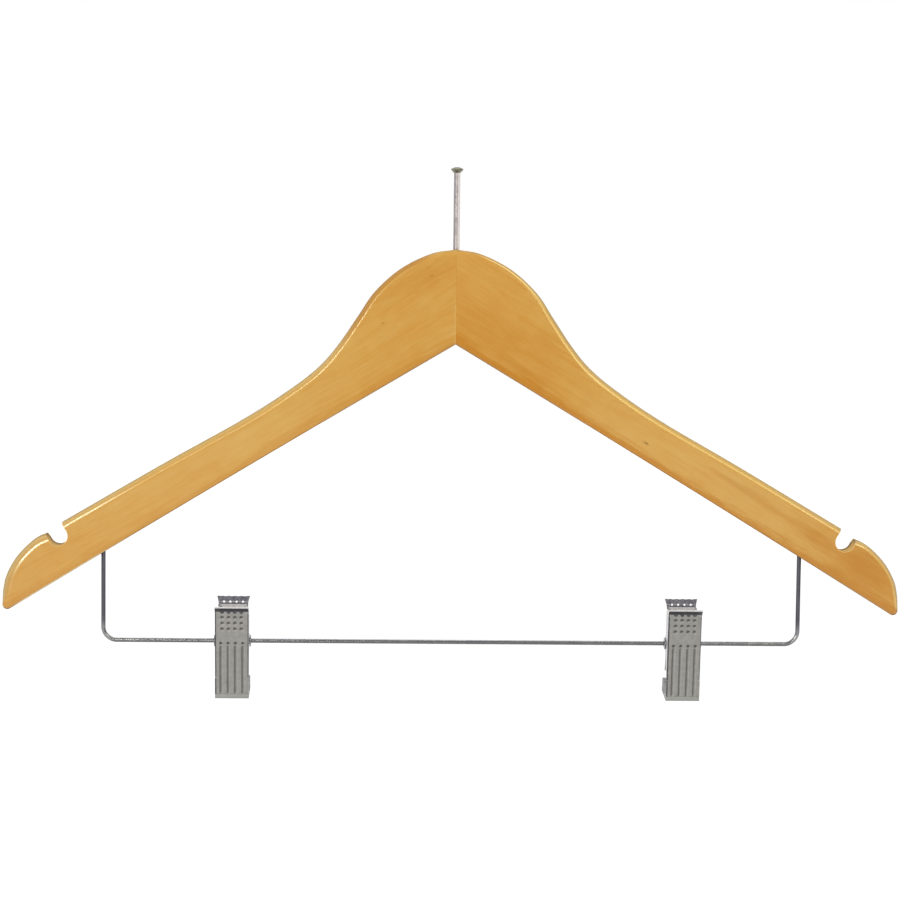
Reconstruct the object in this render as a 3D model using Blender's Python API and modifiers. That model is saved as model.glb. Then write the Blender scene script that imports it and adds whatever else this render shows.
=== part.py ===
"""Wooden combo hanger: two mitred arms on a nail-type hanging pin, with a wire bar that carries two sprung clips.

Metres, +Z up. The origin is on the hanging pin's axis, level with the underside of its head. +X is along the bar,
and -Y is the side that faces the viewer. The clips are built about the wire's axis, then swung by CLIP_TILT.
"""

import math

import bmesh
import bpy
import numpy as np
from mathutils import Matrix, Vector

MM = 0.001

# Clearances
TOUCH_GAP = 0.3 * MM
RUNNING_GAP = 0.3 * MM
CUT_MARGIN = 1.0 * MM

# Hanging pin
PIN_HEAD_DIAMETER = 6.0 * MM
PIN_HEAD_HEIGHT = 2.7 * MM
PIN_HEAD_CONE = 1.2 * MM
PIN_HEAD_DOME = 1.0 * MM
PIN_DIAMETER = 3.0 * MM
PIN_EXPOSED = 36.6 * MM
PIN_EMBEDDED = 22.0 * MM
PIN_POINT_DIAMETER = 1.0 * MM
PIN_POINT_LENGTH = 1.5 * MM
PIN_BARB_REACH = 0.3 * MM
PIN_BARB_PITCH = 3.0 * MM
PIN_BARB_TOP = 5.0 * MM
PIN_BARBS = 5

# Wooden arms, drawn as one half with x from the seam and z from the crest
ARM_THICKNESS = 12.0 * MM
SEAM_HEIGHT = 45.3 * MM
SHOULDER_POINTS_MM = (
    (0.0, 0.0),
    (12.0, -2.2),
    (26.5, -9.5),
    (38.8, -20.6),
    (47.0, -32.7),
    (56.0, -46.0),
    (65.0, -56.6),
    (78.0, -67.1),
    (100.0, -81.6),
    (140.0, -104.4),
)
NOTCH_CORNER_MM = (187.7, -132.5)
NOTCH_CENTRE_MM = (189.4, -138.8)
NOTCH_RADIUS = 4.7 * MM
NOTCH_LIP_MM = (195.2, -138.0)
TIP_POINTS_MM = (
    (200.0, -140.2),
    (205.4, -144.8),
    (210.4, -150.8),
    (214.3, -158.4),
    (215.8, -165.2),
)
TIP_CENTRE_MM = (213.6, -171.9)
TIP_RADIUS = 2.4 * MM
TIP_LOWER_ANGLE = math.radians(-115)
LOWER_EDGE_BOW = 0.6 * MM
SHOULDER_EDGE_RADIUS = 3.0 * MM
TIP_EDGE_RADIUS = 1.5 * MM
CRISP_EDGE_RADIUS = 0.5 * MM

# Wooden spline that keys the mitre together below the pin
SPLINE_THICKNESS = 3.0 * MM
SPLINE_WIDTH = 17.0 * MM
SPLINE_BELOW_PIN = 2.5 * MM
SPLINE_FLOOR = 5.8 * MM

# Wire bar
WIRE_DIAMETER = 2.1 * MM
BAR_HALF_SPAN = 168.1 * MM
BAR_BELOW_CREST = 189.5 * MM
BAR_BEND_RADIUS = 6.5 * MM
BAR_EMBEDDED = 12.0 * MM

# Clips: places on the bar, and how far each has swung on the wire
CLIP_PLACES = {"left": -105.9 * MM, "right": 112.0 * MM}
CLIP_TILT = math.radians(7.8)

# Pressed levers
SHEET = 0.6 * MM
CLIP_WIDTH = 16.2 * MM
PLATE_DISTANCE = 8.7 * MM
BEND_RADIUS = 1.2 * MM
THUMB_TOP = 19.2 * MM
THUMB_LIP_LENGTH = 2.9 * MM
THUMB_LIP_ANGLE = math.radians(40)
REAR_LIP_FLARE = 0.7 * MM
JAW_BOTTOM = 26.6 * MM
JAW_LIP_LENGTH = 6.2 * MM
BARE_TONGUE = 3.5 * MM
REAR_TONGUE_INSET = 1.0 * MM

# Side flanges, measured inward from the plate's outer face and up from the wire
FLANGE_BELOW_LIP = 3.0 * MM
FLANGE_TOP_DEPTH = 5.0 * MM
FLANGE_SHOULDER_DROP = 3.2 * MM
FLANGE_DEPTH = 6.9 * MM
FLANGE_WAIST_TOP = 6.2 * MM
FLANGE_WAIST_DEPTH = 5.2 * MM
FLANGE_WAIST_HEIGHT = 4.9 * MM
FLANGE_FOOT_DEPTH = 2.2 * MM
FLANGE_TOE_DEPTH = 1.3 * MM
FLANGE_TOE_RISE = 2.0 * MM
EAR_RADIUS = 3.6 * MM
EAR_FROM = math.radians(130)
EAR_TO = math.radians(-125)

# Thumb dimples and jaw grooves
DIMPLE_COLUMNS = 4
DIMPLE_ROWS = 4
DIMPLE_PITCH_X = 3.05 * MM
DIMPLE_PITCH_Z = 2.87 * MM
DIMPLE_BELOW_TOP = 2.4 * MM
DIMPLE_SPHERE = 0.95 * MM
DIMPLE_DEPTH = 0.33 * MM
THUMB_HOLE_DIAMETER = 1.3 * MM
GROOVE_PITCH = 3.5 * MM
GROOVE_TOP = 1.3 * MM
GROOVE_ABOVE_JAW = 2.8 * MM
GROOVE_RADIUS = 0.55 * MM
GROOVE_DEPTH = 0.28 * MM

# Jaw cushions
CUSHION_HEIGHT = 7.0 * MM
CUSHION_SOLE = 1.3 * MM
CUSHION_ROUND = 0.6 * MM

# Pivot tube
TUBE_WALL = 0.45 * MM
TUBE_RIM_DIAMETER = 5.8 * MM
TUBE_RIM_THICKNESS = 0.5 * MM

# Torsion spring
SPRING_WIRE = 1.0 * MM
SPRING_TUBE_GAP = 0.6 * MM
SPRING_TURN_GAP = 0.7 * MM
SPRING_FULL_TURNS = 4
SPRING_POINTS_PER_TURN = 10
SPRING_LEG_HEIGHT = 10.0 * MM
SPRING_LEG_END = 2.0 * MM
SPRING_LEAST_GAP = 0.4 * MM

# Worked out from the sizes above
CREST_Z = -PIN_EXPOSED
BAR_Z = CREST_Z - BAR_BELOW_CREST
HALF_SEAM = TOUCH_GAP / 2
WIRE_RADIUS = WIRE_DIAMETER / 2
TUBE_INNER = WIRE_RADIUS + RUNNING_GAP
TUBE_OUTER = TUBE_INNER + TUBE_WALL
EAR_HOLE = TUBE_OUTER + RUNNING_GAP
REAR_WIDTH = CLIP_WIDTH - 2 * (SHEET + RUNNING_GAP)
REAR_TONGUE_WIDTH = REAR_WIDTH - 2 * REAR_TONGUE_INSET
FLANGE_TOP = THUMB_TOP - FLANGE_BELOW_LIP
DIMPLE_TOP_ROW = THUMB_TOP - DIMPLE_BELOW_TOP
GROOVE_BOTTOM = JAW_BOTTOM - GROOVE_ABOVE_JAW
CUSHION_TOP = JAW_BOTTOM - CUSHION_HEIGHT
TONGUE_TOP = CUSHION_TOP - BARE_TONGUE
JAW_LIP_TOP = JAW_BOTTOM - CUSHION_SOLE - TOUCH_GAP - SHEET
SPRING_RADIUS = TUBE_OUTER + SPRING_TUBE_GAP + SPRING_WIRE / 2

# Finishes: colour, roughness and metallic value
FINISHES = {
    "honey_wood": ((0.62, 0.37, 0.12), 0.35, 0.0),
    "bright_pin": ((0.62, 0.59, 0.58), 0.15, 1.0),
    "chrome_wire": ((0.50, 0.51, 0.54), 0.15, 1.0),
    "satin_steel": ((0.42, 0.42, 0.39), 0.40, 0.9),
    "spring_steel": ((0.40, 0.40, 0.42), 0.30, 1.0),
    "grey_vinyl": ((0.36, 0.36, 0.34), 0.55, 0.0),
}


def clear_scene():
    """Removes every object of the startup scene."""
    for thing in list(bpy.data.objects):
        bpy.data.objects.remove(thing, do_unlink=True)


def make_collection(name):
    """Makes a collection in the scene."""
    collection = bpy.data.collections.new(name)
    bpy.context.scene.collection.children.link(collection)
    return collection


def make_finishes():
    """Makes one Principled material for each finish."""
    made = {}
    for name, (colour, roughness, metallic) in FINISHES.items():
        material = bpy.data.materials.new(name)
        material.use_nodes = True
        shader = material.node_tree.nodes["Principled BSDF"]
        shader.inputs["Base Color"].default_value = (*colour, 1.0)
        shader.inputs["Roughness"].default_value = roughness
        shader.inputs["Metallic"].default_value = metallic
        material.diffuse_color = (*colour, 1.0)
        made[name] = material
    return made


def object_from_bmesh(shape, name, collection):
    """Turns a bmesh into an object, with its faces pointing out."""
    bmesh.ops.recalc_face_normals(shape, faces=shape.faces)
    mesh = bpy.data.meshes.new(name)
    shape.to_mesh(mesh)
    shape.free()
    thing = bpy.data.objects.new(name, mesh)
    collection.objects.link(thing)
    return thing


def shade(thing, angle=math.radians(35)):
    """Shades a round piece smooth, with its real corners kept sharp."""
    thing.data.shade_smooth()
    thing.data.set_sharp_from_angle(angle=angle)


def as_cutter(thing):
    """Marks a helper that cuts another piece and isn't a piece itself."""
    thing.hide_render = True
    thing.display_type = "WIRE"
    return thing


def boolean(thing, other, operation):
    """Adds an exact Boolean of another object."""
    modifier = thing.modifiers.new(f"{operation.lower()}_{other.name}", "BOOLEAN")
    modifier.operation = operation
    modifier.solver = "EXACT"
    modifier.object = other


def box(name, low, high, collection):
    """A box between two corners."""
    shape = bmesh.new()
    bmesh.ops.create_cube(shape, size=1.0)
    middle = (Vector(low) + Vector(high)) / 2
    sides = Vector(high) - Vector(low)
    bmesh.ops.transform(shape, matrix=Matrix.Translation(middle) @ Matrix.Diagonal((*sides, 1.0)), verts=shape.verts)
    return object_from_bmesh(shape, name, collection)


def rod(name, start, end, radius, sides, collection):
    """A plain cylinder between two points."""
    start, end = Vector(start), Vector(end)
    along = end - start
    turn = Vector((0, 0, 1)).rotation_difference(along).to_matrix().to_4x4()
    shape = bmesh.new()
    bmesh.ops.create_cone(
        shape, cap_ends=True, segments=sides, radius1=radius, radius2=radius, depth=along.length,
        matrix=Matrix.Translation((start + end) / 2) @ turn,
    )
    return object_from_bmesh(shape, name, collection)


def prism(name, outline, low, high, axis, collection):
    """A flat outline, given as pairs, drawn out along X (pairs are y, z) or Y (pairs are x, z)."""
    place = {"X": lambda pair, depth: (depth, *pair), "Y": lambda pair, depth: (pair[0], depth, pair[1])}[axis]
    shape = bmesh.new()
    face = shape.faces.new([shape.verts.new(place(pair, low)) for pair in outline])
    moved = bmesh.ops.extrude_face_region(shape, geom=[face])["geom"]
    travel = Vector(place((0.0, 0.0), high - low))
    bmesh.ops.translate(shape, vec=travel, verts=[item for item in moved if isinstance(item, bmesh.types.BMVert)])
    return object_from_bmesh(shape, name, collection)


def turned(name, profile, steps, collection):
    """A profile of (radius, height) pairs, top to bottom on its outer side, turned about Z."""
    mesh = bpy.data.meshes.new(name)
    count = len(profile)
    closed = profile[0][0] > 0
    edges = [(i, i + 1) for i in range(count - 1)] + ([(count - 1, 0)] if closed else [])
    mesh.from_pydata([(radius, 0, height) for radius, height in profile], edges, [])
    thing = bpy.data.objects.new(name, mesh)
    collection.objects.link(thing)
    screw = thing.modifiers.new("turn", "SCREW")
    screw.steps = steps
    screw.render_steps = steps
    screw.use_merge_vertices = True
    screw.merge_threshold = 0.01 * MM
    screw.use_smooth_shade = True
    return thing


def tube_along(name, points, radius, resolution, collection):
    """A round wire along points, with filled ends."""
    curve = bpy.data.curves.new(name, "CURVE")
    curve.dimensions = "3D"
    curve.bevel_depth = radius
    curve.bevel_resolution = resolution
    curve.use_fill_caps = True
    spline = curve.splines.new("POLY")
    spline.points.add(len(points) - 1)
    for slot, point in zip(spline.points, points):
        slot.co = (*point, 1.0)
    thing = bpy.data.objects.new(name, curve)
    collection.objects.link(thing)
    return thing


def arc(centre, radius, start, end, steps):
    """Points of an arc, both ends included."""
    angles = np.linspace(start, end, steps + 1)
    return [(centre[0] + radius * math.cos(a), centre[1] + radius * math.sin(a)) for a in angles]


def smooth_through(points, steps):
    """Catmull-Rom points through a list, both ends included. The ends run on straight."""
    knots = [np.array(p) for p in points]
    knots = [2 * knots[0] - knots[1], *knots, 2 * knots[-1] - knots[-2]]
    made = []
    for before, here, there, after in zip(knots, knots[1:], knots[2:], knots[3:]):
        for t in np.arange(steps) / steps:
            bend = (2 * before - 5 * here + 4 * there - after) * t**2 + (3 * (here - there) + after - before) * t**3
            made.append(tuple(here + 0.5 * ((there - before) * t + bend)))
    return [*made, tuple(points[-1])]


def tangent_angle(centre, radius, point, side):
    """The angle on a circle where the line from a point outside touches it, on the side given as 1 or -1."""
    dx, dz = point[0] - centre[0], point[1] - centre[1]
    return math.atan2(dz, dx) + side * math.acos(radius / math.hypot(dx, dz))


def millimetres(points):
    """The same points in metres."""
    return [(x * MM, z * MM) for x, z in points]


def arm_outline():
    """The right arm's outline about the crest, with the radius of the edge's rounding at each point."""
    corner, centre, lip = millimetres((NOTCH_CORNER_MM, NOTCH_CENTRE_MM, NOTCH_LIP_MM))
    shoulder = smooth_through([*millimetres(SHOULDER_POINTS_MM), corner], 4)
    shoulder = [(max(x, HALF_SEAM), z) for x, z in shoulder]
    notch_in = tangent_angle(centre, NOTCH_RADIUS, corner, 1)
    notch_out = tangent_angle(centre, NOTCH_RADIUS, lip, -1)
    notch = arc(centre, NOTCH_RADIUS, notch_in, notch_out + 2 * math.pi, 10)
    tip = smooth_through([lip, *millimetres(TIP_POINTS_MM)], 3)
    round_end = round_tip()
    lower = [(x, lower_edge_at(x)) for x in np.linspace(round_end[-1][0], HALF_SEAM, 9)]
    stretches = (
        (shoulder, SHOULDER_EDGE_RADIUS),
        (notch, CRISP_EDGE_RADIUS),
        (tip, SHOULDER_EDGE_RADIUS),
        (round_end[:-1], TIP_EDGE_RADIUS),
        (lower, CRISP_EDGE_RADIUS),
    )
    return [(point, radius) for points, radius in stretches for point in points]


def round_tip():
    """The arc at the arm's tip, from its outer side to the lower edge."""
    return arc(millimetres([TIP_CENTRE_MM])[0], TIP_RADIUS, 0.0, TIP_LOWER_ANGLE, 5)


def lower_edge_at(x):
    """Height of the arm's lower edge from the crest's level: nearly straight, with a slight bow."""
    end_x, end_z = round_tip()[-1]
    share = (end_x - x) / (end_x - HALF_SEAM)
    return end_z - (SEAM_HEIGHT + end_z) * share + LOWER_EDGE_BOW * 4 * share * (1 - share)


def make_arm(side, sign, parts, cutters):
    """One wooden arm: the outline drawn out to the board's thickness, with rounded edges and its drilled seats."""
    outline = arm_outline()
    half = ARM_THICKNESS / 2
    shape = bmesh.new()
    front = [shape.verts.new((sign * x, -half, CREST_Z + z)) for (x, z), _ in outline]
    face = shape.faces.new(front)
    weight = shape.edges.layers.float.new("bevel_weight_edge")
    softness = {}
    for index, vertex in enumerate(front):
        following = (index + 1) % len(front)
        edge = shape.edges.get((vertex, front[following]))
        if {index, following} == {0, len(front) - 1}:
            softness[edge] = 0.0
        else:
            softness[edge] = min(outline[index][1], outline[following][1]) / SHOULDER_EDGE_RADIUS
    moved = bmesh.ops.extrude_face_region(shape, geom=[face])["geom"]
    raised = [item for item in moved if isinstance(item, bmesh.types.BMVert)]
    bmesh.ops.translate(shape, vec=(0, ARM_THICKNESS, 0), verts=raised)
    for edge, value in softness.items():
        edge[weight] = value
    by_place = {(round(v.co.x, 7), round(v.co.z, 7)): v for v in raised}
    for edge, value in softness.items():
        ends = [by_place[(round(v.co.x, 7), round(v.co.z, 7))] for v in edge.verts]
        shape.edges.get(ends)[weight] = value
    arm = object_from_bmesh(shape, f"arm_{side}", parts)
    bevel = arm.modifiers.new("edges", "BEVEL")
    bevel.width = SHOULDER_EDGE_RADIUS
    bevel.segments = 3
    bevel.limit_method = "WEIGHT"
    bevel.use_clamp_overlap = True

    pin_neck = rod(
        f"pin_neck_{side}", (0, 0, CREST_Z + CUT_MARGIN), (0, 0, CREST_Z - PIN_EMBEDDED / 2),
        PIN_DIAMETER / 2 + TOUCH_GAP, 24, cutters,
    )
    pin_hole = rod(
        f"pin_hole_{side}", (0, 0, CREST_Z - PIN_BARB_TOP + TOUCH_GAP), (0, 0, CREST_Z - PIN_EMBEDDED - TOUCH_GAP),
        PIN_DIAMETER / 2 + PIN_BARB_REACH + TOUCH_GAP, 24, cutters,
    )
    top, bottom = spline_heights()
    reach = SPLINE_WIDTH / 2 + TOUCH_GAP
    thick = SPLINE_THICKNESS / 2 + TOUCH_GAP
    slot = box(
        f"spline_slot_{side}", (-reach, -thick, bottom - TOUCH_GAP), (reach, thick, top + TOUCH_GAP), cutters
    )
    x = sign * BAR_HALF_SPAN
    mouth = CREST_Z + lower_edge_at(BAR_HALF_SPAN)
    wire_hole = rod(
        f"wire_hole_{side}", (x, 0, mouth - 2 * BAR_BEND_RADIUS), (x, 0, mouth + BAR_EMBEDDED + TOUCH_GAP),
        WIRE_RADIUS + TOUCH_GAP, 16, cutters,
    )
    for cutter in (pin_neck, pin_hole, slot, wire_hole):
        boolean(arm, as_cutter(cutter), "DIFFERENCE")
    return arm


def spline_heights():
    """Top and bottom of the mitre's spline."""
    return CREST_Z - PIN_EMBEDDED - SPLINE_BELOW_PIN, CREST_Z - SEAM_HEIGHT + SPLINE_FLOOR


def make_spline(parts):
    """The wooden key across the mitre, wholly inside the two arms."""
    top, bottom = spline_heights()
    half = SPLINE_WIDTH / 2
    thick = SPLINE_THICKNESS / 2
    return box("centre_spline", (-half, -thick, bottom), (half, thick, top), parts)


def make_pin(parts):
    """The hanging pin: a countersunk head with a low dome, a plain shank, and barbs in the wood."""
    head = PIN_HEAD_DIAMETER / 2
    shank = PIN_DIAMETER / 2
    rim_top = PIN_HEAD_HEIGHT - PIN_HEAD_DOME
    dome_radius = (head**2 + PIN_HEAD_DOME**2) / (2 * PIN_HEAD_DOME)
    dome_reach = math.asin(head / dome_radius)
    dome = [
        (dome_radius * math.sin(a), rim_top + dome_radius * (math.cos(a) - math.cos(dome_reach)))
        for a in np.linspace(0, dome_reach, 5)
    ]
    profile = [*dome, (head, PIN_HEAD_CONE), (shank, 0.0), (shank, CREST_Z)]
    for index in range(PIN_BARBS):
        height = CREST_Z - PIN_BARB_TOP - PIN_BARB_PITCH * index
        profile += [(shank, height), (shank + PIN_BARB_REACH, height), (shank, height - PIN_BARB_PITCH / 2)]
    end = CREST_Z - PIN_EMBEDDED
    profile += [(shank, end + PIN_POINT_LENGTH), (PIN_POINT_DIAMETER / 2, end), (0.0, end)]
    return turned("hanging_pin", profile, 24, parts)


def make_bar(parts):
    """The wire bar: straight, with a bend at each end and legs that rise into the arms."""
    top = CREST_Z + lower_edge_at(BAR_HALF_SPAN) + BAR_EMBEDDED
    inner = BAR_HALF_SPAN - BAR_BEND_RADIUS
    level = BAR_Z + BAR_BEND_RADIUS
    right = [(BAR_HALF_SPAN, top)] + arc((inner, level), BAR_BEND_RADIUS, 0.0, -math.pi / 2, 8)
    path = right + [(-x, z) for x, z in reversed(right)]
    return tube_along("clip_bar", [(x, 0, z) for x, z in path], WIRE_RADIUS, 3, parts)


def lever_path():
    """The outer face of a lever in the y, z plane, from the thumb lip down to the jaw lip, front lever.

    The bends are arcs, and the jaw lip turns inward, towards +Y.
    """
    out = -PLATE_DISTANCE
    lip_rise = THUMB_LIP_LENGTH * math.cos(THUMB_LIP_ANGLE)
    lip_reach = THUMB_LIP_LENGTH * math.sin(THUMB_LIP_ANGLE)
    bend_z = THUMB_TOP - lip_rise
    tip = (out - lip_reach, THUMB_TOP)
    swing = BEND_RADIUS * math.tan(THUMB_LIP_ANGLE / 2)
    top_bend = arc((out - BEND_RADIUS, bend_z - swing), BEND_RADIUS, THUMB_LIP_ANGLE, 0.0, 3)
    bottom = -JAW_LIP_TOP - SHEET
    low_bend = arc((out + BEND_RADIUS, bottom + BEND_RADIUS), BEND_RADIUS, math.pi, 1.5 * math.pi, 4)
    return [tip, *top_bend, *low_bend, (out + JAW_LIP_LENGTH, bottom)]


def make_plate(name, width, lip_flare, collection):
    """The pressed plate of a front lever, one sheet thick: thumb lip, plate and jaw lip in one strip."""
    path = lever_path()
    shape = bmesh.new()
    rows = []
    for index, (y, z) in enumerate(path):
        half = width / 2 + (lip_flare if index == 0 else 0.0)
        rows.append([shape.verts.new((side * half, y, z)) for side in (-1, 1)])
    for upper, lower in zip(rows, rows[1:]):
        shape.faces.new((upper[0], upper[1], lower[1], lower[0]))
    mesh = bpy.data.meshes.new(name)
    shape.to_mesh(mesh)
    shape.free()
    thing = bpy.data.objects.new(name, mesh)
    collection.objects.link(thing)
    wall = thing.modifiers.new("sheet", "SOLIDIFY")
    wall.thickness = SHEET
    wall.offset = 1.0
    wall.use_even_offset = True
    return thing


def flange_outline():
    """A side flange in the y, z plane, front lever: thumb part, waist, ear round the wire, and a foot that tapers."""
    out = -PLATE_DISTANCE
    ear = arc((0.0, 0.0), EAR_RADIUS, EAR_FROM, EAR_TO, 14)
    inner = [
        (FLANGE_TOP_DEPTH, FLANGE_TOP),
        (FLANGE_DEPTH, FLANGE_TOP - FLANGE_SHOULDER_DROP),
        (FLANGE_DEPTH, FLANGE_WAIST_TOP),
        (FLANGE_WAIST_DEPTH, FLANGE_WAIST_HEIGHT),
    ]
    foot = [(FLANGE_FOOT_DEPTH, -TONGUE_TOP + FLANGE_TOE_RISE), (FLANGE_TOE_DEPTH, -TONGUE_TOP)]
    start = out + SHEET / 2
    shape = [(start, FLANGE_TOP), *[(out + depth, z) for depth, z in inner], *ear]
    return [*shape, *[(out + depth, z) for depth, z in foot], (start, -TONGUE_TOP)]


def evaluated_copy(thing, name, collection):
    """The object's finished mesh as a new, plain object. The object it came from is removed."""
    bpy.context.view_layer.update()
    graph = bpy.context.evaluated_depsgraph_get()
    mesh = bpy.data.meshes.new_from_object(thing.evaluated_get(graph))
    bpy.data.objects.remove(thing, do_unlink=True)
    copy = bpy.data.objects.new(name, mesh)
    collection.objects.link(copy)
    return copy


def joined_cutter(name, shapes, collection):
    """Several cutters as one object. They don't meet, so they stay separate closed bodies."""
    shape = bmesh.new()
    for other in shapes:
        shape.from_mesh(other.data)
        bpy.data.objects.remove(other, do_unlink=True)
    return object_from_bmesh(shape, name, collection)


def centred(count, pitch):
    """Places of a row of things about its middle."""
    return [(index - (count - 1) / 2) * pitch for index in range(count)]


def make_press_marks(name, collection):
    """Cutter for the dimples and grooves pressed in a front lever's outer face."""
    out = -PLATE_DISTANCE
    marks = []
    ball_y = out + DIMPLE_DEPTH - DIMPLE_SPHERE
    spots = [
        (x, DIMPLE_TOP_ROW - row * DIMPLE_PITCH_Z)
        for row in range(1, DIMPLE_ROWS)
        for x in centred(DIMPLE_COLUMNS, DIMPLE_PITCH_X)
    ]
    for x, z in spots:
        shape = bmesh.new()
        bmesh.ops.create_uvsphere(shape, u_segments=8, v_segments=8, radius=DIMPLE_SPHERE)
        turn = Matrix.Rotation(math.pi / 2, 4, "X")
        bmesh.ops.transform(shape, matrix=Matrix.Translation((x, ball_y, z)) @ turn, verts=shape.verts)
        marks.append(object_from_bmesh(shape, "dimple", collection))
    rod_y = out + GROOVE_DEPTH - GROOVE_RADIUS
    for x in centred(DIMPLE_COLUMNS, GROOVE_PITCH):
        marks.append(rod("groove", (x, rod_y, GROOVE_TOP), (x, rod_y, -GROOVE_BOTTOM), GROOVE_RADIUS, 10, collection))
    return joined_cutter(name, marks, collection)


def make_holes(name, collection):
    """Cutter for the row of holes through the thumb plate's bend, and for the ears' holes."""
    out = -PLATE_DISTANCE
    holes = [
        rod("hole", (x, out - 2 * BEND_RADIUS, DIMPLE_TOP_ROW), (x, out + 2 * BEND_RADIUS, DIMPLE_TOP_ROW),
            THUMB_HOLE_DIAMETER / 2, 10, collection)
        for x in centred(DIMPLE_COLUMNS, DIMPLE_PITCH_X)
    ]
    holes.append(rod("ears", (-CLIP_WIDTH, 0, 0), (CLIP_WIDTH, 0, 0), EAR_HOLE, 20, collection))
    return joined_cutter(name, holes, collection)


def make_lever(name, width, lip_flare, tongue_width, rear, parts, cutters):
    """A pressed lever about the wire's axis: plate, two flanges with ears, holes, dimples and grooves."""
    plate = make_plate(f"{name}_plate", width, lip_flare, parts)
    half = width / 2
    for side in (-1, 1):
        low, high = sorted((side * half, side * (half - SHEET)))
        flange = prism(f"{name}_flange_{'l' if side < 0 else 'r'}", flange_outline(), low, high, "X", cutters)
        boolean(plate, as_cutter(flange), "UNION")
        if tongue_width < width:
            near, far = sorted((side * tongue_width / 2, side * (half + CUT_MARGIN)))
            trim = box(
                f"{name}_trim_{'l' if side < 0 else 'r'}", (near, -PLATE_DISTANCE - CUT_MARGIN, -JAW_BOTTOM),
                (far, 0.0, -TONGUE_TOP - TOUCH_GAP), cutters,
            )
            boolean(plate, as_cutter(trim), "DIFFERENCE")
    boolean(plate, as_cutter(make_press_marks(f"{name}_marks", cutters)), "DIFFERENCE")
    boolean(plate, as_cutter(make_holes(f"{name}_holes", cutters)), "DIFFERENCE")
    lever = evaluated_copy(plate, name, parts)
    if rear:
        turn_to_rear(lever)
    return lever


def turn_to_rear(thing):
    """Turns a front piece about Z, so that it faces the other way."""
    thing.data.transform(Matrix.Rotation(math.pi, 4, "Z"))


def cushion_outline():
    """The front jaw cushion in the y, z plane: a pad behind the plate, slotted to slip over the jaw lip."""
    out = -PLATE_DISTANCE
    inside = -TOUCH_GAP / 2
    behind = out + SHEET + TOUCH_GAP
    slot_top = -JAW_LIP_TOP + TOUCH_GAP
    slot_bottom = -JAW_BOTTOM + CUSHION_SOLE
    slot_end = out + JAW_LIP_LENGTH + TOUCH_GAP
    r = CUSHION_ROUND
    quarter = math.pi / 2
    slot_corner = out + BEND_RADIUS
    return [
        *arc((behind + r, -CUSHION_TOP - r), r, 2 * quarter, quarter, 3),
        *arc((inside - r, -CUSHION_TOP - r), r, quarter, 0.0, 3),
        *arc((inside - r, -JAW_BOTTOM + r), r, 0.0, -quarter, 3),
        *arc((out + r, -JAW_BOTTOM + r), r, -quarter, -2 * quarter, 3),
        (out, slot_bottom),
        (slot_end, slot_bottom),
        (slot_end, slot_top),
        (slot_corner + TOUCH_GAP, slot_top),
        (behind, slot_top + slot_corner - out - SHEET),
    ]


def make_cushion(name, rear, parts):
    """A vinyl jaw cushion, as wide as the clip."""
    cushion = prism(name, cushion_outline(), -CLIP_WIDTH / 2, CLIP_WIDTH / 2, "X", parts)
    if rear:
        turn_to_rear(cushion)
    return cushion


def make_tube(name, parts):
    """The pivot tube through the ears, with a flared rim at each end, bored for the wire."""
    rim = TUBE_RIM_DIAMETER / 2
    shoulder = CLIP_WIDTH / 2 + RUNNING_GAP
    end = shoulder + TUBE_RIM_THICKNESS
    profile = [
        (TUBE_INNER, end),
        (rim - TUBE_RIM_THICKNESS / 2, end),
        (rim, shoulder + TUBE_RIM_THICKNESS / 2),
        (rim - TUBE_RIM_THICKNESS / 4, shoulder),
        (TUBE_OUTER, shoulder),
    ]
    profile += [(radius, -height) for radius, height in reversed(profile)]
    thing = turned(name, profile, 20, parts)
    thing = evaluated_copy(thing, name, parts)
    thing.data.transform(Matrix.Rotation(math.pi / 2, 4, "Y"))
    return thing


def spring_points():
    """The torsion spring's centre line: a leg down the front plate, the coil about the tube, a leg up the rear one."""
    leg_y = PLATE_DISTANCE - SHEET - TOUCH_GAP - SPRING_WIRE / 2
    leg_foot = (leg_y, SPRING_LEG_HEIGHT - SPRING_LEG_END)
    leave = tangent_angle((0, 0), SPRING_RADIUS, leg_foot, -1)
    start = math.pi - leave
    end = leave + 2 * math.pi * (SPRING_FULL_TURNS + 1)
    steps = round((end - start) / (2 * math.pi) * SPRING_POINTS_PER_TURN)
    half = (end - start) / (2 * math.pi) * (SPRING_WIRE + SPRING_TURN_GAP) / 2
    coil = [
        (x, SPRING_RADIUS * math.cos(a), SPRING_RADIUS * math.sin(a))
        for x, a in zip(np.linspace(-half, half, steps + 1), np.linspace(start, end, steps + 1))
    ]
    front_leg = [(-half, -leg_y, SPRING_LEG_HEIGHT), (-half, -leg_y, leg_foot[1])]
    rear_leg = [(half, leg_y, leg_foot[1]), (half, leg_y, SPRING_LEG_HEIGHT)]
    return [*front_leg, *coil, *rear_leg]


def least_gap_to_itself(points, diameter):
    """The least clear space between stretches of a wire that lie more than half a turn apart along it."""
    path = []
    for here, there in zip(points, points[1:]):
        count = max(2, round((Vector(there) - Vector(here)).length / (diameter / 4)))
        path += [tuple(np.array(here) + (np.array(there) - np.array(here)) * t) for t in np.arange(count) / count]
    path = np.array(path)
    along = np.concatenate([[0], np.cumsum(np.linalg.norm(np.diff(path, axis=0), axis=1))])
    apart = np.linalg.norm(path[:, None] - path[None], axis=2)
    far = np.abs(along[:, None] - along[None]) > math.pi * SPRING_RADIUS
    return float(apart[far].min()) - diameter


def make_spring(name, parts):
    """The clip's torsion spring, one unbroken wire with its curls."""
    points = spring_points()
    gap = least_gap_to_itself(points, SPRING_WIRE)
    print(f"{name}: least gap to itself {gap / MM:.2f} mm")
    if gap < SPRING_LEAST_GAP:
        print(f"{name}: the curls are closer than {SPRING_LEAST_GAP / MM:.1f} mm")
    return tube_along(name, points, SPRING_WIRE / 2, 1, parts)


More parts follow.
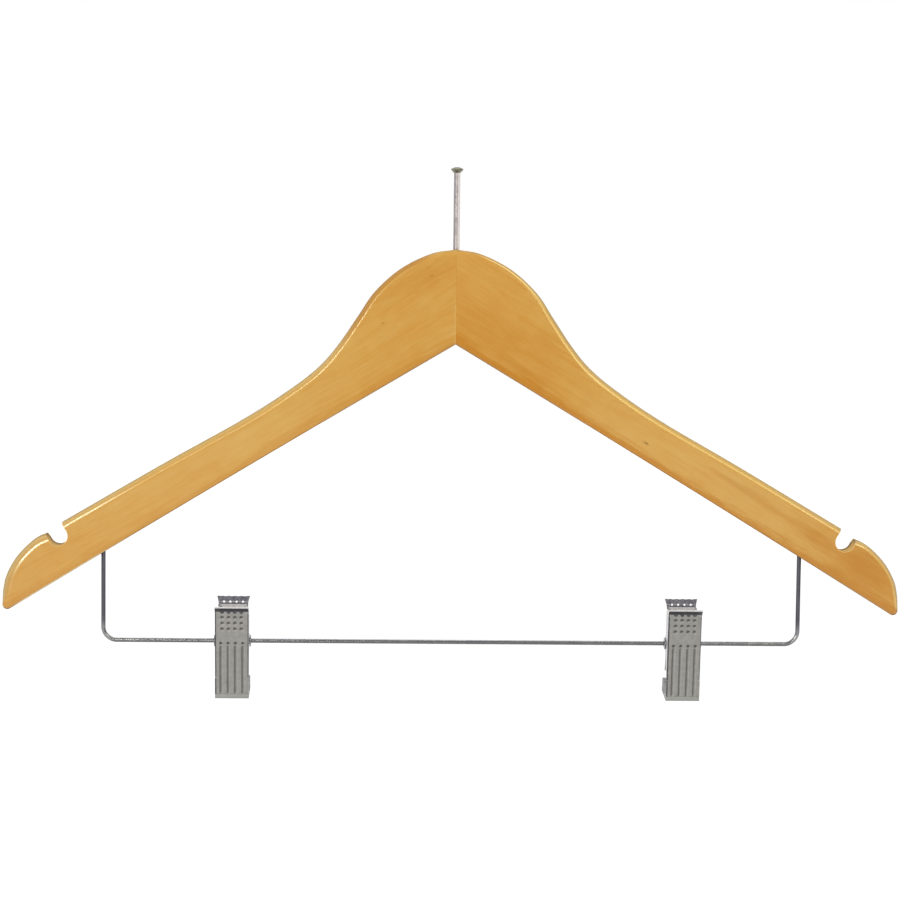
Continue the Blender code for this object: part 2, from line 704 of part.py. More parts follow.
def make_clip(side, place, parts, cutters):
    """One clip: its pieces are built about the wire's axis, then hung on the bar and swung."""
    prefix = f"{side}_clip"
    hub = bpy.data.objects.new(f"{prefix}_axis", None)
    parts.objects.link(hub)
    hub.location = (place, 0, BAR_Z)
    hub.rotation_euler = (CLIP_TILT, 0, 0)
    pieces = {
        "pivot_tube": (make_tube(f"{prefix}_pivot_tube", parts), "chrome_wire"),
        "spring": (make_spring(f"{prefix}_spring", parts), "spring_steel"),
        "front_lever": (
            make_lever(f"{prefix}_front_lever", CLIP_WIDTH, 0.0, CLIP_WIDTH, False, parts, cutters),
            "satin_steel",
        ),
        "rear_lever": (
            make_lever(f"{prefix}_rear_lever", REAR_WIDTH, REAR_LIP_FLARE, REAR_TONGUE_WIDTH, True, parts, cutters),
            "satin_steel",
        ),
        "front_cushion": (make_cushion(f"{prefix}_front_cushion", False, parts), "grey_vinyl"),
        "rear_cushion": (make_cushion(f"{prefix}_rear_cushion", True, parts), "grey_vinyl"),
    }
    for thing, _ in pieces.values():
        thing.parent = hub
    return [(thing, finish) for thing, finish in pieces.values()]


def main():
    """Builds the hanger."""
    clear_scene()
    parts = make_collection("wooden_combo_hanger")
    cutters = make_collection("cutters")
    finishes = make_finishes()
    made = [
        (make_arm("left", -1, parts, cutters), "honey_wood"),
        (make_arm("right", 1, parts, cutters), "honey_wood"),
        (make_spline(parts), "honey_wood"),
        (make_pin(parts), "bright_pin"),
        (make_bar(parts), "chrome_wire"),
    ]
    for side, place in CLIP_PLACES.items():
        made += make_clip(side, place, parts, cutters)
    for thing, finish in made:
        thing.data.materials.clear()
        thing.data.materials.append(finishes[finish])
        if thing.type == "MESH":
            shade(thing)


main()
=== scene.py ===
"""Looks of the wooden combo hanger: lacquered arms, plated pin and wire bar, and two pressed-steel clips.

Metres, +Z up, in the frame of the CAD model: the origin is on the hanging pin's axis at the underside of its head,
+X runs along the bar, and -Y faces the viewer. Each clip is built about the wire's axis, then swung on the wire.
"""

from __future__ import annotations

import logging
import math
from contextlib import contextmanager
from dataclasses import dataclass
from enum import Enum
from typing import Any, Iterable, Iterator, Sequence

import bmesh
import bpy
import numpy as np
from mathutils import Matrix, Vector


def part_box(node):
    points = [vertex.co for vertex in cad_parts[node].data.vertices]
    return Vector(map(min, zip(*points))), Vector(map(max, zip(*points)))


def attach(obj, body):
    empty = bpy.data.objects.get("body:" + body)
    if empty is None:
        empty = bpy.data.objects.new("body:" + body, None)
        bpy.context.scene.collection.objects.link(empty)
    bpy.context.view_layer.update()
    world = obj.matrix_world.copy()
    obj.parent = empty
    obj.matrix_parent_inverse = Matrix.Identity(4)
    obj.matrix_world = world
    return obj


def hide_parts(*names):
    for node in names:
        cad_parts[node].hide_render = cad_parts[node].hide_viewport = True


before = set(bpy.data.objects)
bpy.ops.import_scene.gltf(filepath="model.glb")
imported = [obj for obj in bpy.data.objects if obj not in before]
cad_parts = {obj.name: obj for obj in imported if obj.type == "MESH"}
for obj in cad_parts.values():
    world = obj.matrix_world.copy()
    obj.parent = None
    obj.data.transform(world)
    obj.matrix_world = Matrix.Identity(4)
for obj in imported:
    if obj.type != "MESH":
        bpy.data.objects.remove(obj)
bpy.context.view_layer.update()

log = logging.getLogger("hanger")

MM = 0.001
QUARTER = math.pi / 2
TURN = 2 * math.pi
WELD_DISTANCE = 0.0005 * MM
NO_AREA = 1e-14
WHITE = (1.0, 1.0, 1.0)

Pair = tuple[float, float]
Triple = tuple[float, float, float]
Socket = bpy.types.NodeSocket


class Side(Enum):
    """Which half of the hanger a piece belongs to, as the sign of its x."""

    LEFT = -1
    RIGHT = 1

    @property
    def word(self) -> str:
        """The side's name as nodes and bodies write it."""
        return self.name.lower()


class LeverKind(Enum):
    """The two levers of a clip."""

    FRONT = "front"
    REAR = "rear"


# Node trees


class Tree:
    """Adds nodes to one node tree and joins them up in short calls."""

    def __init__(self, tree: bpy.types.NodeTree) -> None:
        """Keeps the tree."""
        self.tree = tree

    def feed(self, socket: Socket, value: Any) -> None:
        """Joins a socket to another, or sets its value.

        Args:
            socket: The input that is fed.
            value: An output socket, or a plain value.
        """
        if isinstance(value, bpy.types.NodeSocket):
            self.tree.links.new(value, socket)
        else:
            socket.default_value = value

    def add(self, kind: str, inputs: dict[str | int, Any] | None = None, **settings: Any) -> bpy.types.Node:
        """Adds a node.

        Args:
            kind: The node's type name.
            inputs: Values or sockets for its inputs, by name or number.
            **settings: Values for the node's own properties.

        Returns:
            The new node.
        """
        node = self.tree.nodes.new(kind)
        for name, value in settings.items():
            setattr(node, name, value)
        for name, value in (inputs or {}).items():
            self.feed(node.inputs[name], value)
        return node

    def math(self, operation: str, *values: Any, clamp: bool = False) -> Socket:
        """Adds a Math node.

        Args:
            operation: The node's operation.
            *values: Its operands, in order.
            clamp: Whether the result is kept between 0 and 1.

        Returns:
            The result's socket.
        """
        node = self.add("ShaderNodeMath", dict(enumerate(values)), operation=operation)
        node.use_clamp = clamp
        return node.outputs[0]

    def times(self, *values: Any) -> Socket:
        """Multiplies values, taken in order.

        Args:
            *values: Two or more sockets or plain values.

        Returns:
            The product's socket.
        """
        product = values[0]
        for value in values[1:]:
            product = self.math("MULTIPLY", product, value)
        return product

    def measure(self, operation: str, *values: Any) -> Socket:
        """The number that a vector operation gives, such as a length."""
        return self.add("ShaderNodeVectorMath", dict(enumerate(values)), operation=operation).outputs["Value"]

    def copies(self, points: Socket, instance: Socket, **more: Any) -> Socket:
        """Real copies of one shape at every point."""
        placed = self.add("GeometryNodeInstanceOnPoints", {"Points": points, "Instance": instance, **more})
        return self.add("GeometryNodeRealizeInstances", {0: placed.outputs[0]}).outputs[0]

    def parts(self, vector: Any) -> Any:
        """The X, Y and Z of a vector, as sockets."""
        return self.add("ShaderNodeSeparateXYZ", {0: vector}).outputs

    def joined(self, x: Any = 0.0, y: Any = 0.0, z: Any = 0.0) -> Socket:
        """A vector from its X, Y and Z."""
        return self.add("ShaderNodeCombineXYZ", {0: x, 1: y, 2: z}).outputs[0]

    def vector(self, operation: str, *values: Any) -> Socket:
        """Adds a Vector Math node."""
        return self.add("ShaderNodeVectorMath", dict(enumerate(values)), operation=operation).outputs[0]

    def mix(self, factor: Any, first: Any, second: Any, blend: str = "MIX") -> Socket:
        """Mixes two colours.

        Args:
            factor: Share of the second colour.
            first: The first colour.
            second: The second colour.
            blend: How the two are blended.

        Returns:
            The mixed colour's socket.
        """
        node = self.add("ShaderNodeMix", data_type="RGBA", blend_type=blend)
        self.feed(node.inputs[0], factor)
        self.feed(node.inputs[6], first)
        self.feed(node.inputs[7], second)
        return node.outputs[2]

    def span(self, value: Any, low: float, high: float, to_low: Any = 0.0, to_high: Any = 1.0) -> Socket:
        """Maps a range of a value smoothly onto another range.

        Args:
            value: The value that is mapped.
            low: Start of its range.
            high: End of its range.
            to_low: What the start becomes.
            to_high: What the end becomes.

        Returns:
            The mapped value's socket.
        """
        node = self.add("ShaderNodeMapRange", {0: value, 1: low, 2: high, 3: to_low, 4: to_high})
        node.interpolation_type = "SMOOTHSTEP"
        return node.outputs[0]

    def stretched(self, vector: Any, scale: Triple, place: Triple = (0.0, 0.0, 0.0)) -> Socket:
        """Scales and moves a coordinate."""
        scaled = self.vector("MULTIPLY", vector, scale)
        return self.vector("ADD", scaled, place)

    def noise(self, vector: Any, scale: Any = 1.0, detail: float = 3.0, roughness: float = 0.55) -> Socket:
        """Adds a Noise Texture."""
        values = {"Vector": vector, "Scale": scale, "Detail": detail, "Roughness": roughness}
        return self.add("ShaderNodeTexNoise", values).outputs[0]


def new_group(name: str, kind: str, inputs: Sequence[tuple], outputs: Sequence[Pair]) -> tuple[Tree, Any, Any]:
    """Makes a node group with named inputs and outputs.

    Args:
        name: The group's name.
        kind: "ShaderNodeTree" or "GeometryNodeTree".
        inputs: For each input its name, socket type and, where it has one, its default value.
        outputs: For each output its name and socket type.

    Returns:
        The group as a Tree, the outputs of its input node, and the inputs of its output node.
    """
    group = bpy.data.node_groups.new(name, kind)
    for label, socket_type, *default in inputs:
        socket = group.interface.new_socket(name=label, in_out="INPUT", socket_type=f"NodeSocket{socket_type}")
        if default:
            socket.default_value = default[0]
    for label, socket_type in outputs:
        group.interface.new_socket(name=label, in_out="OUTPUT", socket_type=f"NodeSocket{socket_type}")
    tree = Tree(group)
    return tree, tree.add("NodeGroupInput").outputs, tree.add("NodeGroupOutput").inputs


# Shader groups that several finishes share


def timber_group() -> bpy.types.NodeTree:
    """Wood of a flat-sawn board: growth bands and fine fibres along X, short pores, and a few dark flecks.

    Returns:
        The group. It puts out a colour, a height and a roughness.
    """
    tree, given, made = new_group(
        "Timber",
        "ShaderNodeTree",
        (
            ("Vector", "Vector"),
            ("Light", "Color", (0.7, 0.5, 0.2, 1.0)),
            ("Middle", "Color", (0.6, 0.4, 0.15, 1.0)),
            ("Dark", "Color", (0.5, 0.3, 0.1, 1.0)),
            ("Figure", "Float", 1.0),
            ("Fibre", "Float", 1.0),
            ("Flecks", "Float", 1.0),
            ("Drift", "Float", 0.0),
        ),
        (("Color", "Color"), ("Height", "Float"), ("Roughness", "Float")),
    )
    vector = given["Vector"]
    sway = tree.noise(tree.stretched(vector, (7.0, 20.0, 20.0)), detail=1.0)
    swayed = tree.vector("ADD", vector, tree.vector("MULTIPLY", sway, (0.0, 0.0, 0.010)))
    clouds = tree.noise(tree.stretched(swayed, (13.0, 45.0, 62.0), (3.1, 0.7, 1.9)), detail=3.0)
    bands = tree.noise(tree.stretched(swayed, (17.0, 90.0, 250.0), (1.3, 2.1, 4.4)), detail=3.0, roughness=0.65)
    streaks = tree.noise(tree.stretched(swayed, (70.0, 350.0, 720.0), (7.7, 3.2, 0.6)), detail=3.0, roughness=0.75)
    fibres = tree.noise(tree.stretched(swayed, (45.0, 900.0, 1900.0)), detail=3.0, roughness=0.7)
    curl = tree.noise(tree.stretched(vector, (120.0, 90.0, 45.0), (5.0, 1.0, 2.0)), detail=1.0)
    tone = tree.math("ADD", given["Drift"], 0.5)
    for layer, weight in ((bands, 0.65), (clouds, 1.0), (streaks, 0.95), (curl, 0.3)):
        part = tree.times(tree.math("SUBTRACT", layer, 0.5), given["Figure"])
        tone = tree.math("MULTIPLY_ADD", part, weight, tone)
    tone = tree.math("ADD", tone, 0.0, clamp=True)
    colour = tree.mix(tree.math("MULTIPLY_ADD", tone, 2.0, -1.0, clamp=True), given["Middle"], given["Dark"])
    colour = tree.mix(tree.math("MULTIPLY_ADD", tone, -2.0, 1.0, clamp=True), colour, given["Light"])
    strand = tree.times(tree.span(fibres, 0.35, 0.75), given["Fibre"])
    colour = tree.mix(tree.times(strand, 0.3), colour, given["Dark"])
    cells = tree.add(
        "ShaderNodeTexVoronoi", {"Vector": tree.stretched(swayed, (230.0, 1100.0, 1900.0)), "Scale": 1.0}
    )
    pores = tree.times(tree.span(cells.outputs["Distance"], 0.16, 0.05), given["Fibre"])
    colour = tree.mix(tree.times(pores, 0.45), colour, given["Dark"])
    spots = tree.add(
        "ShaderNodeTexVoronoi",
        {"Vector": tree.stretched(vector, (42.0, 60.0, 120.0), (0.4, 0.2, 0.7)), "Scale": 1.0},
    )
    chosen = tree.math("GREATER_THAN", spots.outputs["Color"], 0.82)
    fleck = tree.times(tree.span(spots.outputs["Distance"], 0.09, 0.02), chosen)
    fleck = tree.times(fleck, given["Flecks"])
    brown = tree.mix(1.0, given["Dark"], (0.34, 0.22, 0.16, 1.0), "MULTIPLY")
    colour = tree.mix(tree.times(fleck, 0.5), colour, brown)
    height = tree.math("SUBTRACT", tree.times(fibres, 0.5), tree.times(pores, 0.8))
    tree.feed(made["Color"], colour)
    tree.feed(made["Height"], height)
    tree.feed(made["Roughness"], tree.span(tone, 0.0, 1.0, 0.42, 0.34))
    return tree.tree


def wear_group() -> bpy.types.NodeTree:
    """Marks of making and handling on metal and vinyl: cloudy patches, fine speckle and hairline scratches.

    Returns:
        The group. It puts out a grey mask about 0.5, a height and a scratch mask.
    """
    tree, given, made = new_group(
        "Handling",
        "ShaderNodeTree",
        (
            ("Vector", "Vector"),
            ("Patch size", "Float", 300.0),
            ("Speckle size", "Float", 6000.0),
            ("Speckle", "Float", 0.5),
        ),
        (("Mask", "Float"), ("Height", "Float"), ("Scratches", "Float")),
    )
    vector = given["Vector"]
    patches = tree.noise(vector, given["Patch size"], detail=4.0, roughness=0.6)
    speckle = tree.noise(vector, given["Speckle size"], detail=2.0, roughness=0.6)
    hair = tree.noise(tree.stretched(vector, (4200.0, 900.0, 260.0)), detail=2.0, roughness=0.75)
    even = tree.times(tree.math("SUBTRACT", speckle, 0.5), given["Speckle"])
    tree.feed(made["Mask"], tree.math("ADD", patches, even, clamp=True))
    tree.feed(made["Height"], tree.math("MULTIPLY_ADD", speckle, 0.7, tree.times(patches, 0.3)))
    tree.feed(made["Scratches"], tree.span(hair, 0.58, 0.72))
    return tree.tree


# Finishes


@dataclass(frozen=True)
class Finish:
    """What every finish has: a name, and how its material is begun and ended."""

    name: str

    def begin(self) -> tuple[bpy.types.Material, Tree, bpy.types.Node, Socket]:
        """Makes an empty Principled material.

        Returns:
            The material, its tree, its shader node and the Object coordinate.
        """
        material = bpy.data.materials.new(self.name)
        material.use_nodes = True
        tree = Tree(material.node_tree)
        shader = material.node_tree.nodes["Principled BSDF"]
        return material, tree, shader, tree.add("ShaderNodeTexCoord").outputs["Object"]

    def bump(self, tree: Tree, shader: bpy.types.Node, height: Any, depth: float, strength: float = 1.0) -> None:
        """Joins a height to the shader's normal.

        Args:
            tree: The material's tree.
            shader: The shader node.
            height: The height, 0 to 1.
            depth: What a height of 1 stands for, in metres.
            strength: Share of the bump.
        """
        node = tree.add("ShaderNodeBump", {"Height": height, "Distance": depth, "Strength": strength})
        tree.feed(shader.inputs["Normal"], node.outputs[0])


@dataclass(frozen=True)
class WoodFinish(Finish):
    """Wood with its grain at a slant, bare or under clear lacquer.

    The wood is warmer and darker in a ragged band along the straight lower edge, a painted highlight runs along the
    seam, and the edges carry painted light and shade.
    """

    light: Triple
    middle: Triple
    dark: Triple
    slant: float
    shift: Triple
    lacquer: float
    figure: float = 1.0
    # Strength of the warmer, darker band along the lower edge; at zero the wood gets no marks, drift, or painted light
    # and shade on its edges.
    edge_warmth: float = 0.0
    seam_gleam: float = 0.0
    # Strength, depth reach and far-arm share of the painted highlight along the upper edge.
    edge_highlight: float = 0.0
    edge_highlight_reach: float = 0.6 * MM
    edge_highlight_far: float = 0.8
    end_drift: float = 0.25
    end_gleam: float = 0.0
    crest_drift: float = 0.22
    crest_gleam: float = 0.0
    # Strength of the painted shade on the crest's rounded edge.
    crest_shade: float = 0.0
    marks_mm: tuple[tuple[float, ...], ...] = ()

    DARK_FLECK = (0.20, 0.10, 0.03, 1.0)
    RED_STREAK = (0.46, 0.16, 0.0, 1.0)
    # Warmer, darker wood in a ragged band along the lower edge.
    LOWER_WARM_BAND = (0.52, 0.220, 0.026, 1.0)
    # Painted shade on the lower edge.
    LOWER_EDGE_SHADE = (0.42, 0.215, 0.065, 1.0)
    # Painted pale sheen on the turned upper edge.
    TURNED_EDGE_SHEEN = (0.60, 0.435, 0.185, 1.0)
    # Painted shade on the far-turned edge.
    DEEP_EDGE_SHADE = (0.34, 0.22, 0.085, 1.0)
    # Painted shade on the underside.
    UNDERSIDE_SHADE = (0.28, 0.15, 0.055, 1.0)
    # Painted light on the notch's wall, and painted shade on its back.
    NOTCH_WALL_LIGHT = (0.76, 0.51, 0.20, 1.0)
    NOTCH_BACK_SHADE = (0.20, 0.13, 0.05, 1.0)
    # Painted highlight along the seam.
    SEAM_HIGHLIGHT = (0.78, 0.52, 0.18, 1.0)
    # Painted highlight along the upper edge.
    EDGE_HIGHLIGHT = (0.84, 0.585, 0.19, 1.0)
    # Painted highlight near the ends.
    END_HIGHLIGHT = (0.98, 0.83, 0.50, 1.0)
    # Painted highlight on the crest.
    CREST_HIGHLIGHT = (0.98, 0.78, 0.38, 1.0)
    # Painted shade on the crest.
    CREST_SHADE = (0.44, 0.20, 0.05, 1.0)

    def material(self, timber: bpy.types.NodeTree) -> bpy.types.Material:
        """Makes the material.

        Args:
            timber: The shared group for wood.

        Returns:
            The material.
        """
        material, tree, shader, place = self.begin()
        turned = tree.add(
            "ShaderNodeMapping", {"Vector": place, "Rotation": (0.0, self.slant, 0.0), "Location": self.shift}
        ).outputs[0]
        wood = tree.add("ShaderNodeGroup", node_tree=timber)
        for label, colour in (("Light", self.light), ("Middle", self.middle), ("Dark", self.dark)):
            wood.inputs[label].default_value = (*colour, 1.0)
        wood.inputs["Figure"].default_value = self.figure
        tree.feed(wood.inputs["Vector"], turned)
        colour = wood.outputs["Color"]
        coat = self.lacquer
        if self.edge_warmth:
            out = tree.math("ABSOLUTE", tree.parts(place)[0])
            drift = tree.span(out, 0.02, 0.10, self.crest_drift, -0.12)
            tree.feed(wood.inputs["Drift"], tree.math("ADD", drift, tree.span(out, 0.145, 0.205, 0.0, self.end_drift)))
            colour = self.marked(tree, place, colour)
            colour, coat = self.painted_edge_light(tree, place, turned, colour)
        tree.feed(shader.inputs["Base Color"], colour)
        tree.feed(shader.inputs["Roughness"], wood.outputs["Roughness"])
        shader.inputs["Specular IOR Level"].default_value = 0.0
        tree.feed(shader.inputs["Coat Weight"], coat)
        shader.inputs["Coat Roughness"].default_value = 0.1
        shader.inputs["Coat IOR"].default_value = 1.7
        self.bump(tree, shader, wood.outputs["Height"], 0.02 * MM, 0.5)
        return material

    def marked(self, tree: Tree, place: Socket, colour: Socket) -> Socket:
        """Darkens the wood at its own marks: small flecks, long streaks and broad patches along the grain.

        Args:
            tree: The material's tree.
            place: The Object coordinate.
            colour: The wood's colour.

        Returns:
            The new colour's socket.
        """
        for x, z, long, wide, strength in self.marks_mm:
            moved = tree.vector("SUBTRACT", place, (x * MM, 0.0, z * MM))
            turned = tree.add("ShaderNodeMapping", {"Vector": moved, "Rotation": (0.0, self.slant, 0.0)}).outputs[0]
            shaped = tree.vector("MULTIPLY", turned, (1 / (long * MM), 0.0, 1 / (wide * MM)))
            away = tree.measure("LENGTH", shaped)
            rough = tree.noise(tree.stretched(turned, (60.0, 100.0, 500.0)), detail=2.0)
            away = tree.math("MULTIPLY_ADD", tree.math("SUBTRACT", rough, 0.5), 1.2, away)
            mark = tree.span(away, 1.0, 0.1, 0.0, strength)
            darkening = self.DARK_FLECK if strength > 0.4 else self.RED_STREAK
            colour = tree.mix(mark, colour, darkening)
        return colour

    def painted_edge_light(self, tree: Tree, place: Socket, grain: Socket, colour: Socket) -> tuple[Socket, Socket]:
        """Warms the wood along the straight lower edge, and paints light and shade on the edges: painted shade on the
        lower edge, the underside, the far-turned edge, the crest and the notch's back; a painted sheen on the turned
        upper edge; painted highlights along the upper edge, near the ends, on the crest, along the seam and on the
        notch's wall.

        Args:
            tree: The material's tree.
            place: The Object coordinate.
            grain: The coordinate along the grain.
            colour: The wood's colour.

        Returns:
            The new colour's socket, and that of the lacquer's weight, which is thin on the turned edges.
        """
        parts = tree.parts(place)
        out = tree.math("ABSOLUTE", parts[0])
        edge = tree.math("MULTIPLY_ADD", out, -WoodenArm.LOWER_SLOPE, WoodenArm.LOWER_LEVEL)
        above = tree.math("SUBTRACT", parts[2], edge)
        depth = tree.math("SUBTRACT", WoodenArm.thickness / 2, tree.math("ABSOLUTE", parts[1]))

        ragged = tree.noise(tree.stretched(grain, (40.0, 90.0, 420.0)), detail=3.0, roughness=0.7)
        uneven = tree.math("MULTIPLY_ADD", tree.math("SUBTRACT", ragged, 0.5), 13 * MM, above)
        upper = tree.span(above, 3.5 * MM, 6.0 * MM)
        # Painted pale sheen on the turned upper edge, growing towards its outermost part.
        outer = tree.math("POWER", tree.math("DIVIDE", depth, 1.4 * MM, clamp=True), 0.85)
        outer = tree.times(outer, upper, tree.span(out, 0.012, 0.055, 0.3, 0.85))
        # Painted highlight along the upper edge, in a band at a set depth into the rounding, nearer the silhouette at
        # the crest.
        inside = tree.math("SUBTRACT", depth, tree.span(out, 0.012, 0.05, self.edge_highlight_reach, 0.0))
        reach = self.edge_highlight_reach
        far = self.edge_highlight * self.edge_highlight_far
        edge_highlight_mask = tree.times(
            tree.span(inside, 0.0, 0.15 * reach), tree.span(inside, reach, 0.5 * reach), upper,
            tree.span(out, 0.004, 0.03), tree.span(out, 0.075, 0.105, self.edge_highlight, far),
        )
        # Painted highlight near the notch and round the tip.
        end_highlight_mask = tree.times(
            tree.span(depth, 0.0, 0.05 * MM), tree.span(depth, 0.36 * MM, 0.14 * MM),
            tree.span(out, 0.150, 0.180, 0.0, self.end_gleam), tree.span(out, 0.2125, 0.205),
        )
        # Painted highlight on the crest's rounded edge.
        crest = tree.times(
            tree.span(depth, 0.5 * MM, 0.7 * MM), tree.span(depth, 1.15 * MM, 0.9 * MM),
            tree.span(out, 0.008, 0.022, 0.0, self.crest_gleam), tree.span(out, 0.046, 0.034),
        )
        # Painted shade on the crest's rounded edge.
        darkening = tree.times(
            tree.span(out, 0.008, 0.02, 0.0, self.crest_shade), tree.span(out, 0.060, 0.046),
            tree.span(depth, 0.0, 0.4 * MM),
        )
        # Painted shade on the underside and the lower edge's rounding.
        low = tree.times(tree.span(depth, 0.06 * MM, 0.5 * MM), tree.span(above, 3.0 * MM, 1.5 * MM))
        across = tree.math("SUBTRACT", out, WoodenArm.NOTCH_X)
        up = tree.math("SUBTRACT", parts[2], WoodenArm.NOTCH_Z)
        away = tree.math("SQRT", tree.math("ADD", tree.math("POWER", across, 2.0), tree.math("POWER", up, 2.0)))
        # The notch's wall: painted light on its front part, painted shade on its back part.
        notch = tree.span(away, 5.2 * MM, 4.75 * MM)
        back = tree.times(notch, tree.span(parts[1], 0.5 * MM, 3.5 * MM, 0.0, 0.8))
        # Painted highlight along the lower part of the seam.
        gleam = tree.times(tree.span(out, 0.9 * MM, 0.4 * MM), tree.span(parts[2], -0.056, -0.066))
        for mask, paint in (
            # Warmer, darker wood in a ragged band along the lower edge.
            (tree.times(tree.span(uneven, 6.5 * MM, 2.0 * MM), self.edge_warmth), self.LOWER_WARM_BAND),
            # Painted shade on the lower edge's rounding.
            (tree.span(above, 2.0 * MM, 0.7 * MM, 0.0, 0.5), self.LOWER_EDGE_SHADE),
            # Painted pale sheen on the turned upper edge.
            (outer, self.TURNED_EDGE_SHEEN),
            # Painted shade where the edge turns far from the face.
            (tree.span(depth, 1.6 * MM, 3.4 * MM, 0.0, 0.55), self.DEEP_EDGE_SHADE),
            # Painted highlight along the upper edge.
            (edge_highlight_mask, self.EDGE_HIGHLIGHT),
            # Painted highlight near the ends: by the notch and round the tip.
            (end_highlight_mask, self.END_HIGHLIGHT),
            # Painted highlight on the crest's rounded edge.
            (crest, self.CREST_HIGHLIGHT),
            # Painted shade on the crest's rounded edge.
            (darkening, self.CREST_SHADE),
            # Painted shade on the underside and the lower edge.
            (tree.times(low, 0.75), self.UNDERSIDE_SHADE),
            # Painted light on the notch's wall and its front edge.
            (tree.times(notch, 0.9), self.NOTCH_WALL_LIGHT),
            # Painted shade on the back of the notch's wall.
            (back, self.NOTCH_BACK_SHADE),
            # Painted highlight along the seam.
            (tree.times(gleam, self.seam_gleam), self.SEAM_HIGHLIGHT),
        ):
            colour = tree.mix(mask, colour, paint)

        bare = tree.math("MAXIMUM", tree.math("MAXIMUM", low, notch), tree.span(depth, 0.9 * MM, 2.0 * MM))
        middle = tree.times(tree.span(out, 0.064, 0.085), tree.span(out, 0.168, 0.145))
        gloss = tree.math("SUBTRACT", tree.span(out, 0.03, 0.062, 0.05, 0.5), tree.times(middle, 0.3))
        gloss = tree.math("ADD", gloss, tree.span(out, 0.188, 0.2, 0.0, 0.5))
        gloss = tree.times(gloss, tree.span(depth, 0.0, 0.02 * MM))
        gloss = tree.math("MAXIMUM", gloss, tree.span(depth, 0.03 * MM, 0.0, 0.0, 0.35))
        coat = tree.times(gloss, tree.math("MULTIPLY_ADD", bare, -0.95, 1.0))
        return colour, tree.times(coat, self.lacquer)


@dataclass(frozen=True)
class MetalFinish(Finish):
    """Plated or bare metal."""

    colour: Triple
    shade: Triple
    roughness: float
    roughness_spread: float = 0.08
    metallic: float = 1.0
    grain_depth: float = 0.01 * MM
    patch_size: float = 300.0
    speckle: float = 0.5
    scratches: float = 0.3
    # Whether the painted shade in the pressed marks' hollows and the painted highlight on their rims are read.
    pressed: bool = False
    # Height from which the wire's legs are painted darker as shade; it also turns on painted shade under the bar.
    shade_above: float | None = None
    # Share of painted light on the right side, as on the pin.
    painted_lit_right: float = 0.0

    # Painted light on the right side.
    PAINTED_LIT_SIDE = (0.93, 0.88, 0.93, 1.0)
    # Painted shade on the wire's legs and under the bar.
    LEG_SHADE = (0.076, 0.076, 0.095, 1.0)
    WIRE_UNDERSIDE_SHADE = (0.06, 0.06, 0.065, 1.0)
    # Painted highlight on the pressed marks' lit rims, and painted shade in their hollows.
    LIT_RIM = (0.62, 0.62, 0.60, 1.0)
    HOLLOW_SHADE = (0.045, 0.045, 0.05, 1.0)

    def material(self, wear: bpy.types.NodeTree) -> bpy.types.Material:
        """Makes the material.

        Args:
            wear: The shared group for marks of handling.

        Returns:
            The material.
        """
        material, tree, shader, place = self.begin()
        marks = tree.add("ShaderNodeGroup", node_tree=wear)
        tree.feed(marks.inputs["Vector"], place)
        marks.inputs["Patch size"].default_value = self.patch_size
        marks.inputs["Speckle"].default_value = self.speckle
        colour = tree.mix(tree.span(marks.outputs["Mask"], 0.25, 0.75), (*self.shade, 1.0), (*self.colour, 1.0))
        scratch = tree.times(marks.outputs["Scratches"], self.scratches)
        colour = tree.mix(scratch, colour, tuple(min(1.0, 1.35 * c) for c in self.colour) + (1.0,))
        shader.inputs["Metallic"].default_value = self.metallic
        # Painted light: the right side is lighter and less metallic, as if lit from the right.
        if self.painted_lit_right:
            bright = tree.span(tree.parts(place)[0], 0.2 * MM, 0.85 * MM, 0.0, self.painted_lit_right)
            colour = tree.mix(bright, colour, self.PAINTED_LIT_SIDE)
            tree.feed(shader.inputs["Metallic"], tree.math("MULTIPLY_ADD", bright, -0.8, self.metallic))
        # Painted shade: darker upward on the legs, and darker on the bar's underside.
        if self.shade_above is not None:
            up = tree.parts(place)[2]
            leg_shade = tree.span(up, self.shade_above - 4 * MM, self.shade_above + 6 * MM)
            colour = tree.mix(tree.times(leg_shade, 0.9), colour, self.LEG_SHADE)
            # Painted shade on the bar's underside.
            under = tree.span(up, WireBar.LEVEL + 0.7 * MM, WireBar.LEVEL - 0.4 * MM, 0.0, 0.62)
            colour = tree.mix(under, colour, self.WIRE_UNDERSIDE_SHADE)
        # Painted shade in the pressed marks' hollows and a painted highlight on their lit rims.
        if self.pressed:
            for name, share, paint in (("lit_rim", 0.12, self.LIT_RIM), ("hollow_shade", 0.8, self.HOLLOW_SHADE)):
                mark = tree.add("ShaderNodeAttribute", attribute_name=name).outputs["Fac"]
                colour = tree.mix(tree.times(mark, share), colour, paint)
        tree.feed(shader.inputs["Base Color"], colour)
        low, high = self.roughness - self.roughness_spread, self.roughness + self.roughness_spread
        tree.feed(shader.inputs["Roughness"], tree.span(marks.outputs["Mask"], 0.2, 0.8, high, low))
        self.bump(tree, shader, marks.outputs["Height"], self.grain_depth, 0.6)
        return material


@dataclass(frozen=True)
class VinylFinish(Finish):
    """Soft moulded vinyl."""

    colour: Triple
    shade: Triple
    roughness: float = 0.55

    def material(self, wear: bpy.types.NodeTree) -> bpy.types.Material:
        """Makes the material.

        Args:
            wear: The shared group for marks of handling.

        Returns:
            The material.
        """
        material, tree, shader, place = self.begin()
        marks = tree.add("ShaderNodeGroup", node_tree=wear)
        tree.feed(marks.inputs["Vector"], place)
        colour = tree.mix(marks.outputs["Mask"], (*self.shade, 1.0), (*self.colour, 1.0))
        tree.feed(shader.inputs["Base Color"], colour)
        tree.feed(shader.inputs["Roughness"], tree.span(marks.outputs["Mask"], 0.2, 0.8, 0.62, 0.48))
        shader.inputs["Specular IOR Level"].default_value = 0.4
        self.bump(tree, shader, marks.outputs["Height"], 0.015 * MM, 0.6)
        return material


